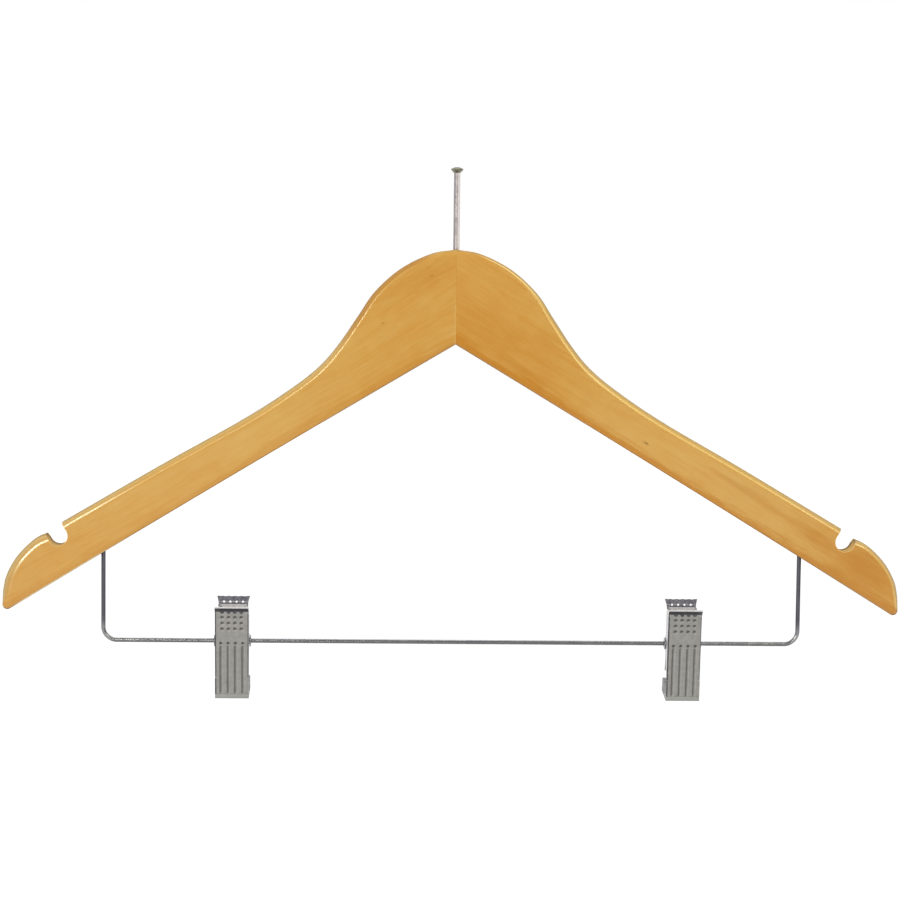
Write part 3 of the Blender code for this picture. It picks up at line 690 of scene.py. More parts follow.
class Finishes:
    """Every material of the hanger, made once."""

    GRAIN_SLANT = math.radians(31)

    def __init__(self) -> None:
        """Makes the shared groups and the materials."""
        timber, wear = timber_group(), wear_group()
        self.wood = {
            Side.LEFT: WoodFinish(
                "honey_lacquered_wood_left", (0.655, 0.417, 0.132), (0.625, 0.362, 0.098), (0.580, 0.284, 0.056),
                self.GRAIN_SLANT, (0.013, 0.02, 0.037), 1.0, 0.95, edge_warmth=0.4, seam_gleam=0.3, edge_highlight=0.4,
                edge_highlight_reach=0.2 * MM, edge_highlight_far=0.3, end_drift=0.2, end_gleam=0.75, crest_shade=0.6,
                marks_mm=(
                    (-17.9, -50.5, 26.0, 8.0, 0.2), (-11.6, -49.2, 1.8, 0.6, 0.5), (-34.8, -71.9, 1.8, 0.55, 0.6),
                    (-18.5, -57.2, 2.6, 0.5, 0.3), (-89.0, -105.0, 20.0, 4.0, 0.2),
                ),
            ).material(timber),
            Side.RIGHT: WoodFinish(
                "honey_lacquered_wood_right", (0.655, 0.412, 0.127), (0.628, 0.358, 0.094), (0.575, 0.280, 0.053),
                -self.GRAIN_SLANT, (0.21, 0.11, 0.083), 1.0, 0.95, edge_warmth=0.85, edge_highlight=0.8,
                edge_highlight_reach=0.62 * MM, edge_highlight_far=0.8, end_drift=0.5, crest_drift=0.28, crest_gleam=0.75,
                marks_mm=(
                    (92.3, -128.4, 2.5, 0.85, 0.8), (35.3, -95.5, 26.0, 2.2, 0.3), (148.8, -155.9, 46.0, 2.6, 0.34),
                    (174.0, -172.5, 17.0, 5.5, 0.36), (42.0, -78.0, 22.0, 6.0, 0.08), (198.0, -187.0, 26.0, 15.0, 0.38),
                ),
            ).material(timber),
        }
        self.bare_wood = WoodFinish(
            "bare_spline_wood", (0.62, 0.45, 0.24), (0.56, 0.39, 0.19), (0.46, 0.29, 0.12), QUARTER,
            (0.0, 0.0, 0.0), 0.0,
        ).material(timber)
        self.pin = MetalFinish(
            "bright_pin_plating", (0.43, 0.40, 0.43), (0.27, 0.25, 0.275), 0.5, 0.06, 0.75, patch_size=420.0,
            speckle=0.9, painted_lit_right=0.85
        ).material(wear)
        self.pin_head = MetalFinish(
            "worn_pin_head", (0.27, 0.27, 0.21), (0.14, 0.14, 0.10), 0.34, 0.08, patch_size=900.0
        ).material(wear)
        self.wire = MetalFinish(
            "chrome_wire_plating", (0.32, 0.325, 0.345), (0.21, 0.215, 0.235), 0.24, 0.05, patch_size=260.0,
            shade_above=-220 * MM,
        ).material(wear)
        self.tube = MetalFinish(
            "chrome_tube_plating", (0.34, 0.345, 0.37), (0.21, 0.215, 0.24), 0.16, 0.05, patch_size=700.0
        ).material(wear)
        self.lever = [
            MetalFinish(
                "satin_lever_plating", (0.304, 0.304, 0.302), (0.252, 0.252, 0.25), 0.50, 0.06, 0.75,
                patch_size=420.0, speckle=0.9, scratches=0.15, pressed=True,
            ).material(wear),
            MetalFinish(
                # Pale inside plating; where it shows below the rear lip it stands in for the bend's highlight, and on
                # the front lip's top edge it is a painted highlight.
                "pale_lever_inside", (0.74, 0.74, 0.79), (0.64, 0.64, 0.69), 0.38, 0.08, 0.35,
                patch_size=420.0, speckle=0.6, scratches=0.3,
            ).material(wear),
            MetalFinish(
                # Painted shade for the levers' lip, side bends and edges.
                "lever_painted_shade", (0.10, 0.10, 0.11), (0.06, 0.06, 0.068), 0.34, 0.08, 1.0,
                patch_size=600.0, speckle=0.6, scratches=0.3,
            ).material(wear),
            MetalFinish(
                # Violet rear lip plating; it also runs down round the holes as painted shade.
                "violet_lip_plating", (0.30, 0.30, 0.35), (0.08, 0.08, 0.115), 0.52, 0.1, 0.85,
                patch_size=1100.0, speckle=0.9, scratches=0.3,
            ).material(wear),
        ]
        self.spring = MetalFinish(
            "drawn_spring_wire", (0.36, 0.36, 0.38), (0.26, 0.26, 0.28), 0.30, 0.06, patch_size=900.0
        ).material(wear)
        self.vinyl = VinylFinish("grey_jaw_vinyl", (0.345, 0.355, 0.37), (0.29, 0.30, 0.315)).material(wear)


# Mesh helpers


def arc(centre: Pair, radius: float, start: float, end: float, steps: int) -> list[Pair]:
    """Points of an arc, both ends included."""
    angles = np.linspace(start, end, steps + 1)
    return [(centre[0] + radius * math.cos(a), centre[1] + radius * math.sin(a)) for a in angles]


def smooth_through(points: Sequence[Pair], steps: int) -> list[Pair]:
    """Catmull-Rom points through a list, both ends included.

    Args:
        points: The points that the curve passes.
        steps: Number of spans between two of them.

    Returns:
        The curve's points.
    """
    knots = [np.array(p) for p in points]
    knots = [2 * knots[0] - knots[1], *knots, 2 * knots[-1] - knots[-2]]
    made = []
    for before, here, there, after in zip(knots, knots[1:], knots[2:], knots[3:]):
        for t in np.arange(steps) / steps:
            bend = (2 * before - 5 * here + 4 * there - after) * t**2 + (3 * (here - there) + after - before) * t**3
            made.append(tuple(here + 0.5 * ((there - before) * t + bend)))
    return [*made, tuple(points[-1])]


def tangent_angle(centre: Pair, radius: float, point: Pair, side: int) -> float:
    """The angle on a circle where the line from a point outside touches it.

    Args:
        centre: The circle's centre.
        radius: Its radius.
        point: The point outside.
        side: Which of the two lines, 1 or -1.

    Returns:
        The angle, in radians.
    """
    dx, dz = point[0] - centre[0], point[1] - centre[1]
    return math.atan2(dz, dx) + side * math.acos(radius / math.hypot(dx, dz))


def resampled(points: np.ndarray, spacing: float) -> np.ndarray:
    """Points at an even spacing along a line of points, both ends kept.

    Args:
        points: The line's points, one row each.
        spacing: The wished distance between two.

    Returns:
        The new points.
    """
    steps = np.linalg.norm(np.diff(points, axis=0), axis=1)
    along = np.concatenate([[0.0], np.cumsum(steps)])
    places = np.linspace(0.0, along[-1], max(2, round(along[-1] / spacing)) + 1)
    return np.column_stack([np.interp(places, along, points[:, i]) for i in range(points.shape[1])])


@contextmanager
def opened(mesh: bpy.types.Mesh) -> Iterator[bmesh.types.BMesh]:
    """Opens a mesh for editing, and writes it back at the end.

    Args:
        mesh: The mesh.

    Yields:
        Its editable form.
    """
    shape = bmesh.new()
    shape.from_mesh(mesh)
    yield shape
    shape.to_mesh(mesh)
    shape.free()


def weld(mesh: bpy.types.Mesh) -> None:
    """Joins points that coincide and turns every face outward."""
    with opened(mesh) as shape:
        bmesh.ops.remove_doubles(shape, verts=shape.verts, dist=WELD_DISTANCE)
        bmesh.ops.recalc_face_normals(shape, faces=shape.faces)


def grid_faces(rows: int, columns: int) -> list[tuple[int, ...]]:
    """Faces between the points of a grid that is numbered row by row.

    Args:
        rows: Number of its rows.
        columns: Number of its columns.

    Returns:
        The faces, four corners each.
    """
    return [
        (r * columns + c, r * columns + c + 1, (r + 1) * columns + c + 1, (r + 1) * columns + c)
        for r in range(rows - 1)
        for c in range(columns - 1)
    ]


def new_object(name: str, data: bpy.types.ID) -> bpy.types.Object:
    """Puts a new object with the given data in the scene.

    Args:
        name: The object's name.
        data: Its mesh, camera or lamp.

    Returns:
        The object.
    """
    thing = bpy.data.objects.new(name, data)
    bpy.context.scene.collection.objects.link(thing)
    return thing


def mesh_object(name: str, verts: Iterable, faces: Iterable, edges: Iterable = ()) -> bpy.types.Object:
    """A new object from points and faces, with its faces pointing out.

    Args:
        name: The object's name.
        verts: Its points.
        faces: Its faces, as rows of point numbers.
        edges: Loose edges, as pairs of point numbers.

    Returns:
        The object.
    """
    mesh = bpy.data.meshes.new(name)
    mesh.from_pydata([tuple(v) for v in verts], list(edges), list(faces))
    weld(mesh)
    return new_object(name, mesh)


def lathe(name: str, profile: Sequence[Pair], segments: int) -> bpy.types.Object:
    """A profile turned about Z.

    Args:
        name: The object's name.
        profile: (radius, height) pairs. A profile that starts and ends on the axis is closed there, and any other
            is closed onto itself.
        segments: Number of steps round the axis.

    Returns:
        The object.
    """
    angles = np.arange(segments) * TURN / segments
    rings = [[(r * math.cos(a), r * math.sin(a), z) for a in angles] for r, z in profile]
    verts = [point for ring in rings for point in ring]
    count = len(profile)
    pairs = [(i, i + 1) for i in range(count - 1)]
    if profile[0][0] > 0:
        pairs.append((count - 1, 0))
    faces = []
    for upper, lower in pairs:
        for step in range(segments):
            after = (step + 1) % segments
            corners = ((upper, step), (upper, after), (lower, after), (lower, step))
            quad = tuple(level * segments + turn for level, turn in corners)
            faces.append(quad)
    thing = mesh_object(name, verts, faces)
    with opened(thing.data) as shape:
        flat = [face for face in shape.faces if face.calc_area() < NO_AREA]
        bmesh.ops.delete(shape, geom=flat, context="FACES_ONLY")
    return thing


def prism(name: str, outline: Sequence[Pair], low: float, high: float, axis: str = "X") -> bpy.types.Object:
    """A flat outline drawn out along X or Y.

    Args:
        name: The object's name.
        outline: Pairs of (y, z) for X, or of (x, z) for Y.
        low: Where it starts.
        high: Where it ends.
        axis: "X" or "Y".

    Returns:
        The object.
    """
    count = len(outline)
    ends = [(low, pair) for pair in outline] + [(high, pair) for pair in outline]
    verts = [(depth, *pair) if axis == "X" else (pair[0], depth, pair[1]) for depth, pair in ends]
    sides = [(i, (i + 1) % count, (i + 1) % count + count, i + count) for i in range(count)]
    return mesh_object(name, verts, [tuple(range(count)), tuple(range(count, 2 * count)), *sides])


def plain_copy(thing: bpy.types.Object) -> bpy.types.Object:
    """The object's finished mesh as a new object without modifiers. The old one is removed.

    Args:
        thing: The object with its modifiers.

    Returns:
        The new object, under the same name.
    """
    bpy.context.view_layer.update()
    graph = bpy.context.evaluated_depsgraph_get()
    mesh = bpy.data.meshes.new_from_object(thing.evaluated_get(graph))
    name = thing.name
    bpy.data.objects.remove(thing, do_unlink=True)
    mesh.name = name
    return new_object(name, mesh)


def shade(thing: bpy.types.Object, angle: float = 35.0) -> None:
    """Shades a piece smooth, with its real corners kept sharp."""
    thing.data.shade_smooth()
    thing.data.set_sharp_from_angle(angle=math.radians(angle))


def subtract(thing: bpy.types.Object, cutters: Sequence[bpy.types.Object]) -> bpy.types.Object:
    """Cuts other objects out of one. The cutters are removed.

    Args:
        thing: The object that is cut.
        cutters: What is cut out of it.

    Returns:
        The cut object.
    """
    for cutter in cutters:
        modifier = thing.modifiers.new(cutter.name, "BOOLEAN")
        modifier.operation = "DIFFERENCE"
        modifier.solver = "EXACT"
        modifier.object = cutter
    cut = plain_copy(thing)
    for cutter in cutters:
        bpy.data.objects.remove(cutter, do_unlink=True)
    return cut


def rod(name: str, start: Triple, end: Triple, radius: float, sides: int) -> bpy.types.Object:
    """A round cutter between two points.

    Args:
        name: The object's name.
        start: Its first end.
        end: Its other end.
        radius: Its radius.
        sides: Number of sides.

    Returns:
        The object.
    """
    along = Vector(end) - Vector(start)
    turn = Vector((0, 0, 1)).rotation_difference(along).to_matrix().to_4x4()
    thing = lathe(name, [(0.0, 0.0), (radius, 0.0), (radius, along.length), (0.0, along.length)], sides)
    thing.data.transform(Matrix.Translation(start) @ turn)
    return thing


# Geometry Nodes


def wire_tree() -> bpy.types.NodeTree:
    """A round wire along the edges of a mesh line, with filled ends.

    Returns:
        The tree, with the inputs Radius, Sides and Material.
    """
    tree, given, made = new_group(
        "Round wire",
        "GeometryNodeTree",
        (
            ("Geometry", "Geometry"),
            ("Radius", "Float", 1 * MM),
            ("Sides", "Int", 16),
            ("Material", "Material"),
        ),
        (("Geometry", "Geometry"),),
    )
    line = tree.add("GeometryNodeMeshToCurve", {"Mesh": given["Geometry"]}).outputs[0]
    ring = tree.add("GeometryNodeCurvePrimitiveCircle", {"Resolution": given["Sides"], "Radius": given["Radius"]})
    swept = tree.add(
        "GeometryNodeCurveToMesh", {"Curve": line, "Profile Curve": ring.outputs[0], "Fill Caps": True}
    ).outputs[0]
    end_tree(tree, swept, given["Material"], made)
    return tree.tree


def press_tree() -> bpy.types.NodeTree:
    """Dimples in a grid and grooves in a row, pressed into a sheet that lies in the X, Z plane, towards +Y, with
    painted shade in their hollows and a painted highlight on their lit rims.

    Returns:
        The tree. Its inputs are the sizes of the dimples and the grooves, and the material.
    """
    tree, given, made = new_group(
        "Press marks",
        "GeometryNodeTree",
        (
            ("Geometry", "Geometry"),
            ("Plate Y", "Float", 0.0),
            ("Dimple columns", "Int", 4),
            ("Dimple rows", "Int", 3),
            ("Dimple pitch X", "Float", 3 * MM),
            ("Dimple pitch Z", "Float", 3 * MM),
            ("Dimple bottom Z", "Float", 0.0),
            ("Dimple radius", "Float", 0.8 * MM),
            ("Dimple depth", "Float", 0.3 * MM),
            ("Groove count", "Int", 4),
            ("Groove pitch", "Float", 3.5 * MM),
            ("Groove top Z", "Float", 0.0),
            ("Groove length", "Float", 20 * MM),
            ("Groove radius", "Float", 0.6 * MM),
            ("Groove depth", "Float", 0.3 * MM),
            ("Head radius", "Float", 0.8 * MM),
            ("Head depth", "Float", 0.5 * MM),
            ("Head rise", "Float", 1.0 * MM),
            ("Material", "Material"),
        ),
        (("Geometry", "Geometry"),),
    )
    plate_y = given["Plate Y"]
    position = tree.add("GeometryNodeInputPosition").outputs[0]

    def first_place(count: Socket, pitch: Socket) -> Socket:
        return tree.times(tree.math("SUBTRACT", count, 1.0), tree.times(pitch, -0.5))

    def pressed(
        target: Socket, element: str, radius: Socket, depth: Socket, lit: Triple, shade: float = 1.0
    ) -> list[Socket]:
        near = tree.add("GeometryNodeProximity", {0: target, "Sample Position": position}, target_element=element)
        distance = tree.math("DIVIDE", near.outputs["Distance"], radius)
        offset = tree.vector("SUBTRACT", position, near.outputs["Position"])
        toward = tree.measure("DOT_PRODUCT", offset, lit)
        toward = tree.math("DIVIDE", toward, radius)
        push = tree.span(distance, 0.0, 1.0, depth, 0.0)
        # Painted shade in the part of each hollow away from lit, and a painted highlight on the rim towards it.
        hollow_shade = tree.times(tree.span(distance, 1.05, 0.7, 0.0, shade), tree.span(toward, 0.45, 0.0))
        rim = tree.times(tree.span(distance, 1.35, 0.95), tree.span(toward, 0.25, 0.8))
        return [push, hollow_shade, rim]

    def most(first: list[Socket], second: list[Socket]) -> list[Socket]:
        return [tree.math("MAXIMUM", one, other) for one, other in zip(first, second)]

    first = first_place(given["Dimple columns"], given["Dimple pitch X"])
    start = tree.joined(first, plate_y, given["Dimple bottom Z"])
    step = tree.joined(x=given["Dimple pitch X"])
    row = tree.add(
        "GeometryNodeMeshLine", {"Count": given["Dimple columns"], "Start Location": start, "Offset": step}
    ).outputs[0]
    rise = tree.joined(z=given["Dimple pitch Z"])
    stack = tree.add("GeometryNodeMeshLine", {"Count": given["Dimple rows"], "Offset": rise}).outputs[0]
    marks = pressed(tree.copies(stack, row), "POINTS", given["Dimple radius"], given["Dimple depth"], (0.2, 0.0, -0.75))

    top = tree.joined(first_place(given["Groove count"], given["Groove pitch"]), plate_y, given["Groove top Z"])
    across = tree.joined(x=given["Groove pitch"])
    heads = tree.add(
        "GeometryNodeMeshLine", {"Count": given["Groove count"], "Start Location": top, "Offset": across}
    ).outputs[0]
    lift = tree.joined(z=given["Head rise"])
    spots = tree.add("GeometryNodeSetPosition", {"Geometry": heads, "Offset": lift}).outputs[0]
    down = tree.joined(z=tree.times(given["Groove length"], -1.0))
    line = tree.add("GeometryNodeMeshLine", {"Count": 2, "Offset": down}).outputs[0]
    grooves = tree.copies(heads, line)
    long_marks = pressed(grooves, "EDGES", given["Groove radius"], given["Groove depth"], (1.0, 0.0, 0.0), 0.6)
    marks = most(marks, long_marks)
    marks = most(marks, pressed(spots, "POINTS", given["Head radius"], given["Head depth"], (0.1, 0.0, -0.35)))

    marked = given["Geometry"]
    # Stored for the material: painted shade in the hollows and a painted highlight on the lit rims.
    for label, value in (("hollow_shade", marks[1]), ("lit_rim", marks[2])):
        marked = tree.add(
            "GeometryNodeStoreNamedAttribute", {"Geometry": marked, "Name": label, "Value": value},
            data_type="FLOAT", domain="POINT",
        ).outputs[0]
    push = tree.joined(y=marks[0])
    moved = tree.add("GeometryNodeSetPosition", {"Geometry": marked, "Offset": push}).outputs[0]
    end_tree(tree, moved, given["Material"], made)
    return tree.tree


def drill_tree() -> bpy.types.NodeTree:
    """A row of round holes or grooves cut through a piece.

    Returns:
        The tree. Its inputs place the first cutter, turn it, and give the step to the next.
    """
    tree, given, made = new_group(
        "Drilled row",
        "GeometryNodeTree",
        (
            ("Geometry", "Geometry"),
            ("Count", "Int", 4),
            ("First", "Vector"),
            ("Step", "Vector"),
            ("Turn", "Vector"),
            ("Radius", "Float", 0.65 * MM),
            ("Length", "Float", 4 * MM),
            ("Sides", "Int", 24),
            ("Material", "Material"),
        ),
        (("Geometry", "Geometry"),),
    )
    points = tree.add(
        "GeometryNodeMeshLine", {"Count": given["Count"], "Start Location": given["First"], "Offset": given["Step"]}
    ).outputs[0]
    cutter = tree.add(
        "GeometryNodeMeshCylinder",
        {"Vertices": given["Sides"], "Radius": given["Radius"], "Depth": given["Length"]},
    ).outputs[0]
    row = tree.copies(points, cutter, Rotation=given["Turn"])
    cut = tree.add("GeometryNodeMeshBoolean", {0: given["Geometry"]}, operation="DIFFERENCE", solver="EXACT")
    tree.feed(cut.inputs["Mesh 2"], row)
    end_tree(tree, cut.outputs[0], given["Material"], made)
    return tree.tree


def end_tree(tree: Tree, geometry: Socket, material: Socket, made: Any) -> None:
    """Ends a geometry tree in Realize Instances and Set Material.

    Args:
        tree: The tree.
        geometry: What it has made.
        material: Its material input.
        made: The inputs of its output node.
    """
    real = tree.add("GeometryNodeRealizeInstances", {0: geometry}).outputs[0]
    dressed = tree.add("GeometryNodeSetMaterial", {"Geometry": real, "Material": material}).outputs[0]
    tree.feed(made["Geometry"], dressed)


class Shop:
    """The shared finishes and Geometry Nodes trees, and how a piece is handed over to the frame."""

    def __init__(self) -> None:
        """Makes the finishes and the trees."""
        self.finishes = Finishes()
        self.wire = wire_tree()
        self.press = press_tree()
        self.drill = drill_tree()

    @staticmethod
    def put(thing: bpy.types.Object, tree: bpy.types.NodeTree, values: dict[str, Any]) -> None:
        """Adds a Geometry Nodes modifier with its values set.

        Args:
            thing: The object.
            tree: The tree.
            values: The inputs' values, by name.
        """
        modifier = thing.modifiers.new(tree.name, "NODES")
        modifier.node_group = tree
        for item in tree.interface.items_tree:
            if item.item_type == "SOCKET" and item.in_out == "INPUT" and item.name in values:
                modifier[item.identifier] = values[item.name]

    @staticmethod
    def hand_over(
        thing: bpy.types.Object, body: str, node: str | None, slot: str,
        materials: Sequence[bpy.types.Material] = (),
    ) -> None:
        """Dresses a finished piece, puts it on its body and lets it stand for its CAD node.

        Args:
            thing: The piece.
            body: The body that it rides on.
            node: The CAD node that it replaces, if it isn't a further part of one.
            slot: The record's material slot. Not used.
            materials: Its materials, where its mesh doesn't carry them yet.
        """
        if materials:
            thing.data.materials.clear()
            for material in materials:
                thing.data.materials.append(material)
        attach(thing, body)
        if node:
            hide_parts(node)
        log.info("%s: %d faces on %s", thing.name, len(thing.data.polygons), body)


# Hanger


@dataclass
class WoodenArm:
    """One lacquered arm: a flat board with a soft upper edge, a strap notch and crisp lower edges."""

    side: Side
    thickness: float = 12.0 * MM
    seam_height: float = 45.3 * MM
    half_seam: float = 0.012 * MM
    shoulder_mm: tuple[Pair, ...] = (
        (0.0, 0.0), (12.0, -2.2), (26.5, -9.5), (38.8, -20.6), (47.0, -32.7), (56.0, -46.0), (65.0, -56.6),
        (78.0, -67.1), (100.0, -81.6), (140.0, -104.4),
    )
    notch_corner_mm: Pair = (187.7, -132.5)
    notch_centre_mm: Pair = (189.4, -138.8)
    notch_radius: float = 4.7 * MM
    notch_lip_mm: Pair = (195.2, -138.0)
    tip_mm: tuple[Pair, ...] = ((200.0, -140.2), (205.4, -144.8), (210.4, -150.8), (214.3, -158.4), (215.8, -165.2))
    tip_centre_mm: Pair = (213.6, -171.9)
    tip_radius: float = 2.4 * MM
    tip_lower_angle: float = math.radians(-115)
    lower_bow: float = 0.6 * MM
    soft_radius: float = 3.0 * MM
    crisp_radius: float = 0.7 * MM
    tip_soft_radius: float = 2.6 * MM
    tip_edge_radius: float = 1.6 * MM
    spacing: float = 0.7 * MM
    round_steps: int = 10
    flat_margin: float = 0.4 * MM
    clearance: float = 0.3 * MM
    pin_bore: float = 1.8 * MM
    wire_bore: float = 1.15 * MM
    bore_lead: float = 12 * MM

    CREST_Z = -36.6 * MM
    LOWER_LEVEL = -81.9 * MM
    LOWER_SLOPE = 0.606
    NOTCH_X = notch_centre_mm[0] * MM
    NOTCH_Z = CREST_Z + notch_centre_mm[1] * MM

    def round_tip(self) -> list[Pair]:
        """The arc at the tip, from its outer side to the lower edge."""
        centre = (self.tip_centre_mm[0] * MM, self.tip_centre_mm[1] * MM)
        return arc(centre, self.tip_radius, 0.0, self.tip_lower_angle, 12)

    def lower_edge_at(self, x: float) -> float:
        """Height of the lower edge from the crest's level.

        Args:
            x: Distance from the seam.

        Returns:
            The height, in metres.
        """
        end_x, end_z = self.round_tip()[-1]
        share = (end_x - x) / (end_x - self.half_seam)
        return end_z - (self.seam_height + end_z) * share + self.lower_bow * 4 * share * (1 - share)

    def outline(self) -> tuple[np.ndarray, np.ndarray]:
        """The outline about the crest, from the crest round the tip to the seam's foot, with its edge radii.

        Returns:
            The points, and the radius of the edge's rounding at each.
        """
        def metres(points: Sequence[Pair]) -> list[Pair]:
            return [(x * MM, z * MM) for x, z in points]

        corner, lip = metres((self.notch_corner_mm, self.notch_lip_mm))
        shoulder = smooth_through([*metres(self.shoulder_mm), corner], 16)
        tip = smooth_through([lip, *metres(self.tip_mm)], 8)
        round_end = self.round_tip()
        lower = [(x, self.lower_edge_at(x)) for x in np.linspace(round_end[-1][0], self.half_seam, 60)]
        pieces = [
            (shoulder, self.soft_radius),
            (tip, self.tip_soft_radius),
            (round_end[1:-1], self.tip_edge_radius),
            (lower, self.crisp_radius),
        ]
        rows = [(x, z, radius) for points, radius in pieces for x, z in points]
        rows[0] = (self.half_seam, rows[0][1], rows[0][2])
        even = resampled(np.array(rows), self.spacing)
        blur = np.exp(-0.5 * (np.arange(-6, 7) / 2.2) ** 2)
        padded = np.pad(even[:, 2], 6, mode="edge")
        radii = np.convolve(padded, blur / blur.sum(), mode="valid")
        return even[:, :2], radii

    def inward(self, points: np.ndarray) -> np.ndarray:
        """Which way the edge's rounding moves each point of the outline.

        Args:
            points: The outline's points.

        Returns:
            One step inward for each. At the seam it keeps to the seam's plane.
        """
        tangents = np.gradient(points, axis=0)
        tangents /= np.linalg.norm(tangents, axis=1)[:, None]
        steps = np.column_stack([tangents[:, 1], -tangents[:, 0]])
        for end in (0, -1):
            steps[end] = (0.0, 1.0 / steps[end][1])
        return steps

    def board(self) -> bpy.types.Object:
        """The board: rings that follow the outline round both rounded edges, closed by two flat faces and the seam.

        Returns:
            The object.
        """
        points, radii = self.outline()
        steps = self.inward(points)
        half = self.thickness / 2
        angles = np.linspace(0, QUARTER, self.round_steps + 1)
        rounding = [(1 - math.cos(a), math.sin(a)) for a in angles]
        rings = [(radii + self.flat_margin, np.full(len(points), half))]
        rings += [(radii * inset, half - radii * (1 - rise)) for inset, rise in reversed(rounding)]
        rings += [(inset, -depth) for inset, depth in reversed(rings)]
        verts = []
        for inset, depth in rings:
            flat = points + steps * inset[:, None]
            verts += [(self.side.value * x, y, self.CREST_Z + z) for (x, z), y in zip(flat, depth)]
        count = len(points)
        faces = grid_faces(len(rings), count)
        last = len(rings) - 1
        faces += [tuple(range(count)), tuple(last * count + i for i in range(count))]
        seam = [r * count for r in range(last + 1)] + [r * count + count - 1 for r in range(last, -1, -1)]
        return mesh_object(f"{self.side.word}_arm_board", verts, [*faces, tuple(seam)])

    def seats(self) -> list[bpy.types.Object]:
        """Cutters for the pin's bore, the spline's slot and the wire's bore."""
        low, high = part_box("centre_spline")
        gap = self.clearance
        reach, thick = high[0] + gap, high[1] + gap
        foot, top = low[2] - gap, high[2] + gap
        slot = prism("slot", [(-reach, foot), (reach, foot), (reach, top), (-reach, top)], -thick, thick, "Y")
        pin_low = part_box("hanging_pin")[0][2]
        bore = rod("pin_bore", (0, 0, pin_low - gap), (0, 0, self.CREST_Z + MM), self.pin_bore, 32)
        x = self.side.value * WireBar.half_span
        mouth = self.CREST_Z + self.lower_edge_at(WireBar.half_span)
        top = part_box("clip_bar")[1][2] + gap
        wire = rod("wire_bore", (x, 0, mouth - self.bore_lead), (x, 0, top), self.wire_bore, 32)
        return [slot, bore, wire, self.notch()]

    def notch(self) -> bpy.types.Object:
        """Cutter for the strap notch: a round seat that opens upward between its two corners."""
        corner, centre, lip = (
            np.array(p) * MM for p in (self.notch_corner_mm, self.notch_centre_mm, self.notch_lip_mm)
        )
        notch_in = tangent_angle(centre, self.notch_radius, corner, 1)
        notch_out = tangent_angle(centre, self.notch_radius, lip, -1)
        seat = arc(centre, self.notch_radius, notch_in, notch_out + TURN, 40)
        near, far = corner - np.array(seat[0]), lip - np.array(seat[-1])
        shape = [corner + near, *seat, lip + far]
        side = self.side.value
        outline = [(side * x, self.CREST_Z + z) for x, z in shape]
        return prism("notch", outline, -self.thickness, self.thickness, "Y")

    def build(self, shop: Shop) -> None:
        """Makes the arm and hands it over.

        Args:
            shop: The shared finishes and trees.
        """
        arm = subtract(self.board(), self.seats())
        shade(arm, 38.0)
        node = f"arm_{self.side.word}"
        shop.hand_over(arm, "hanger", node, "arm_wood", [shop.finishes.wood[self.side]])


@dataclass
class HangingPin:
    """The nail-type pin: a low domed head on a cone, a drawn shank, and barbs in the wood."""

    head_radius: float = 3.0 * MM
    head_height: float = 2.7 * MM
    cone_height: float = 1.2 * MM
    dome_height: float = 1.0 * MM
    shank_radius: float = 1.5 * MM
    exposed: float = 36.6 * MM
    embedded: float = 22.0 * MM
    point_length: float = 1.5 * MM
    barb_top: float = 5.0 * MM
    barb_pitch: float = 3.0 * MM
    barb_reach: float = 0.3 * MM
    barbs: int = 5

    def profile(self) -> list[Pair]:
        """The turned profile, from the top of the head to the point.

        Returns:
            (radius, height) pairs.
        """
        rim_top = self.head_height - self.dome_height
        dome_radius = (self.head_radius**2 + self.dome_height**2) / (2 * self.dome_height)
        reach = math.asin(self.head_radius / dome_radius)
        drop = math.cos(reach)
        edge = 0.18 * MM
        dome = [
            (dome_radius * math.sin(a), rim_top + dome_radius * (math.cos(a) - drop))
            for a in np.linspace(0, reach * 0.93, 12)
        ]
        rim = arc((self.head_radius - edge, (rim_top + self.cone_height) / 2), edge, QUARTER * 0.6, -QUARTER * 0.7, 6)
        neck = arc((self.shank_radius + 0.5 * MM, -0.35 * MM), 0.5 * MM, QUARTER * 1.35, 2 * QUARTER, 5)
        shank = [(self.shank_radius, -self.exposed * share) for share in np.linspace(0.05, 1.0, 24)]
        low = -self.exposed
        barbs = []
        for index in range(self.barbs):
            height = low - self.barb_top - self.barb_pitch * index
            barbs += [
                (self.shank_radius, height),
                (self.shank_radius + self.barb_reach, height - 0.05 * MM),
                (self.shank_radius, height - self.barb_pitch / 2),
            ]
        end = low - self.embedded
        return [*dome, *rim, *neck, *shank, *barbs, (self.shank_radius, end + self.point_length), (0.5 * MM, end),
                (0.0, end)]

    def build(self, shop: Shop) -> None:
        """Makes the pin and hands it over.

        Args:
            shop: The shared finishes and trees.
        """
        pin = lathe("pin_turned", self.profile(), 40)
        shade(pin, 32.0)
        shop.hand_over(pin, "hanger", "hanging_pin", "pin_chrome", [shop.finishes.pin, shop.finishes.pin_head])
        for face in pin.data.polygons:
            face.material_index = int(face.center.z > -0.05 * MM)


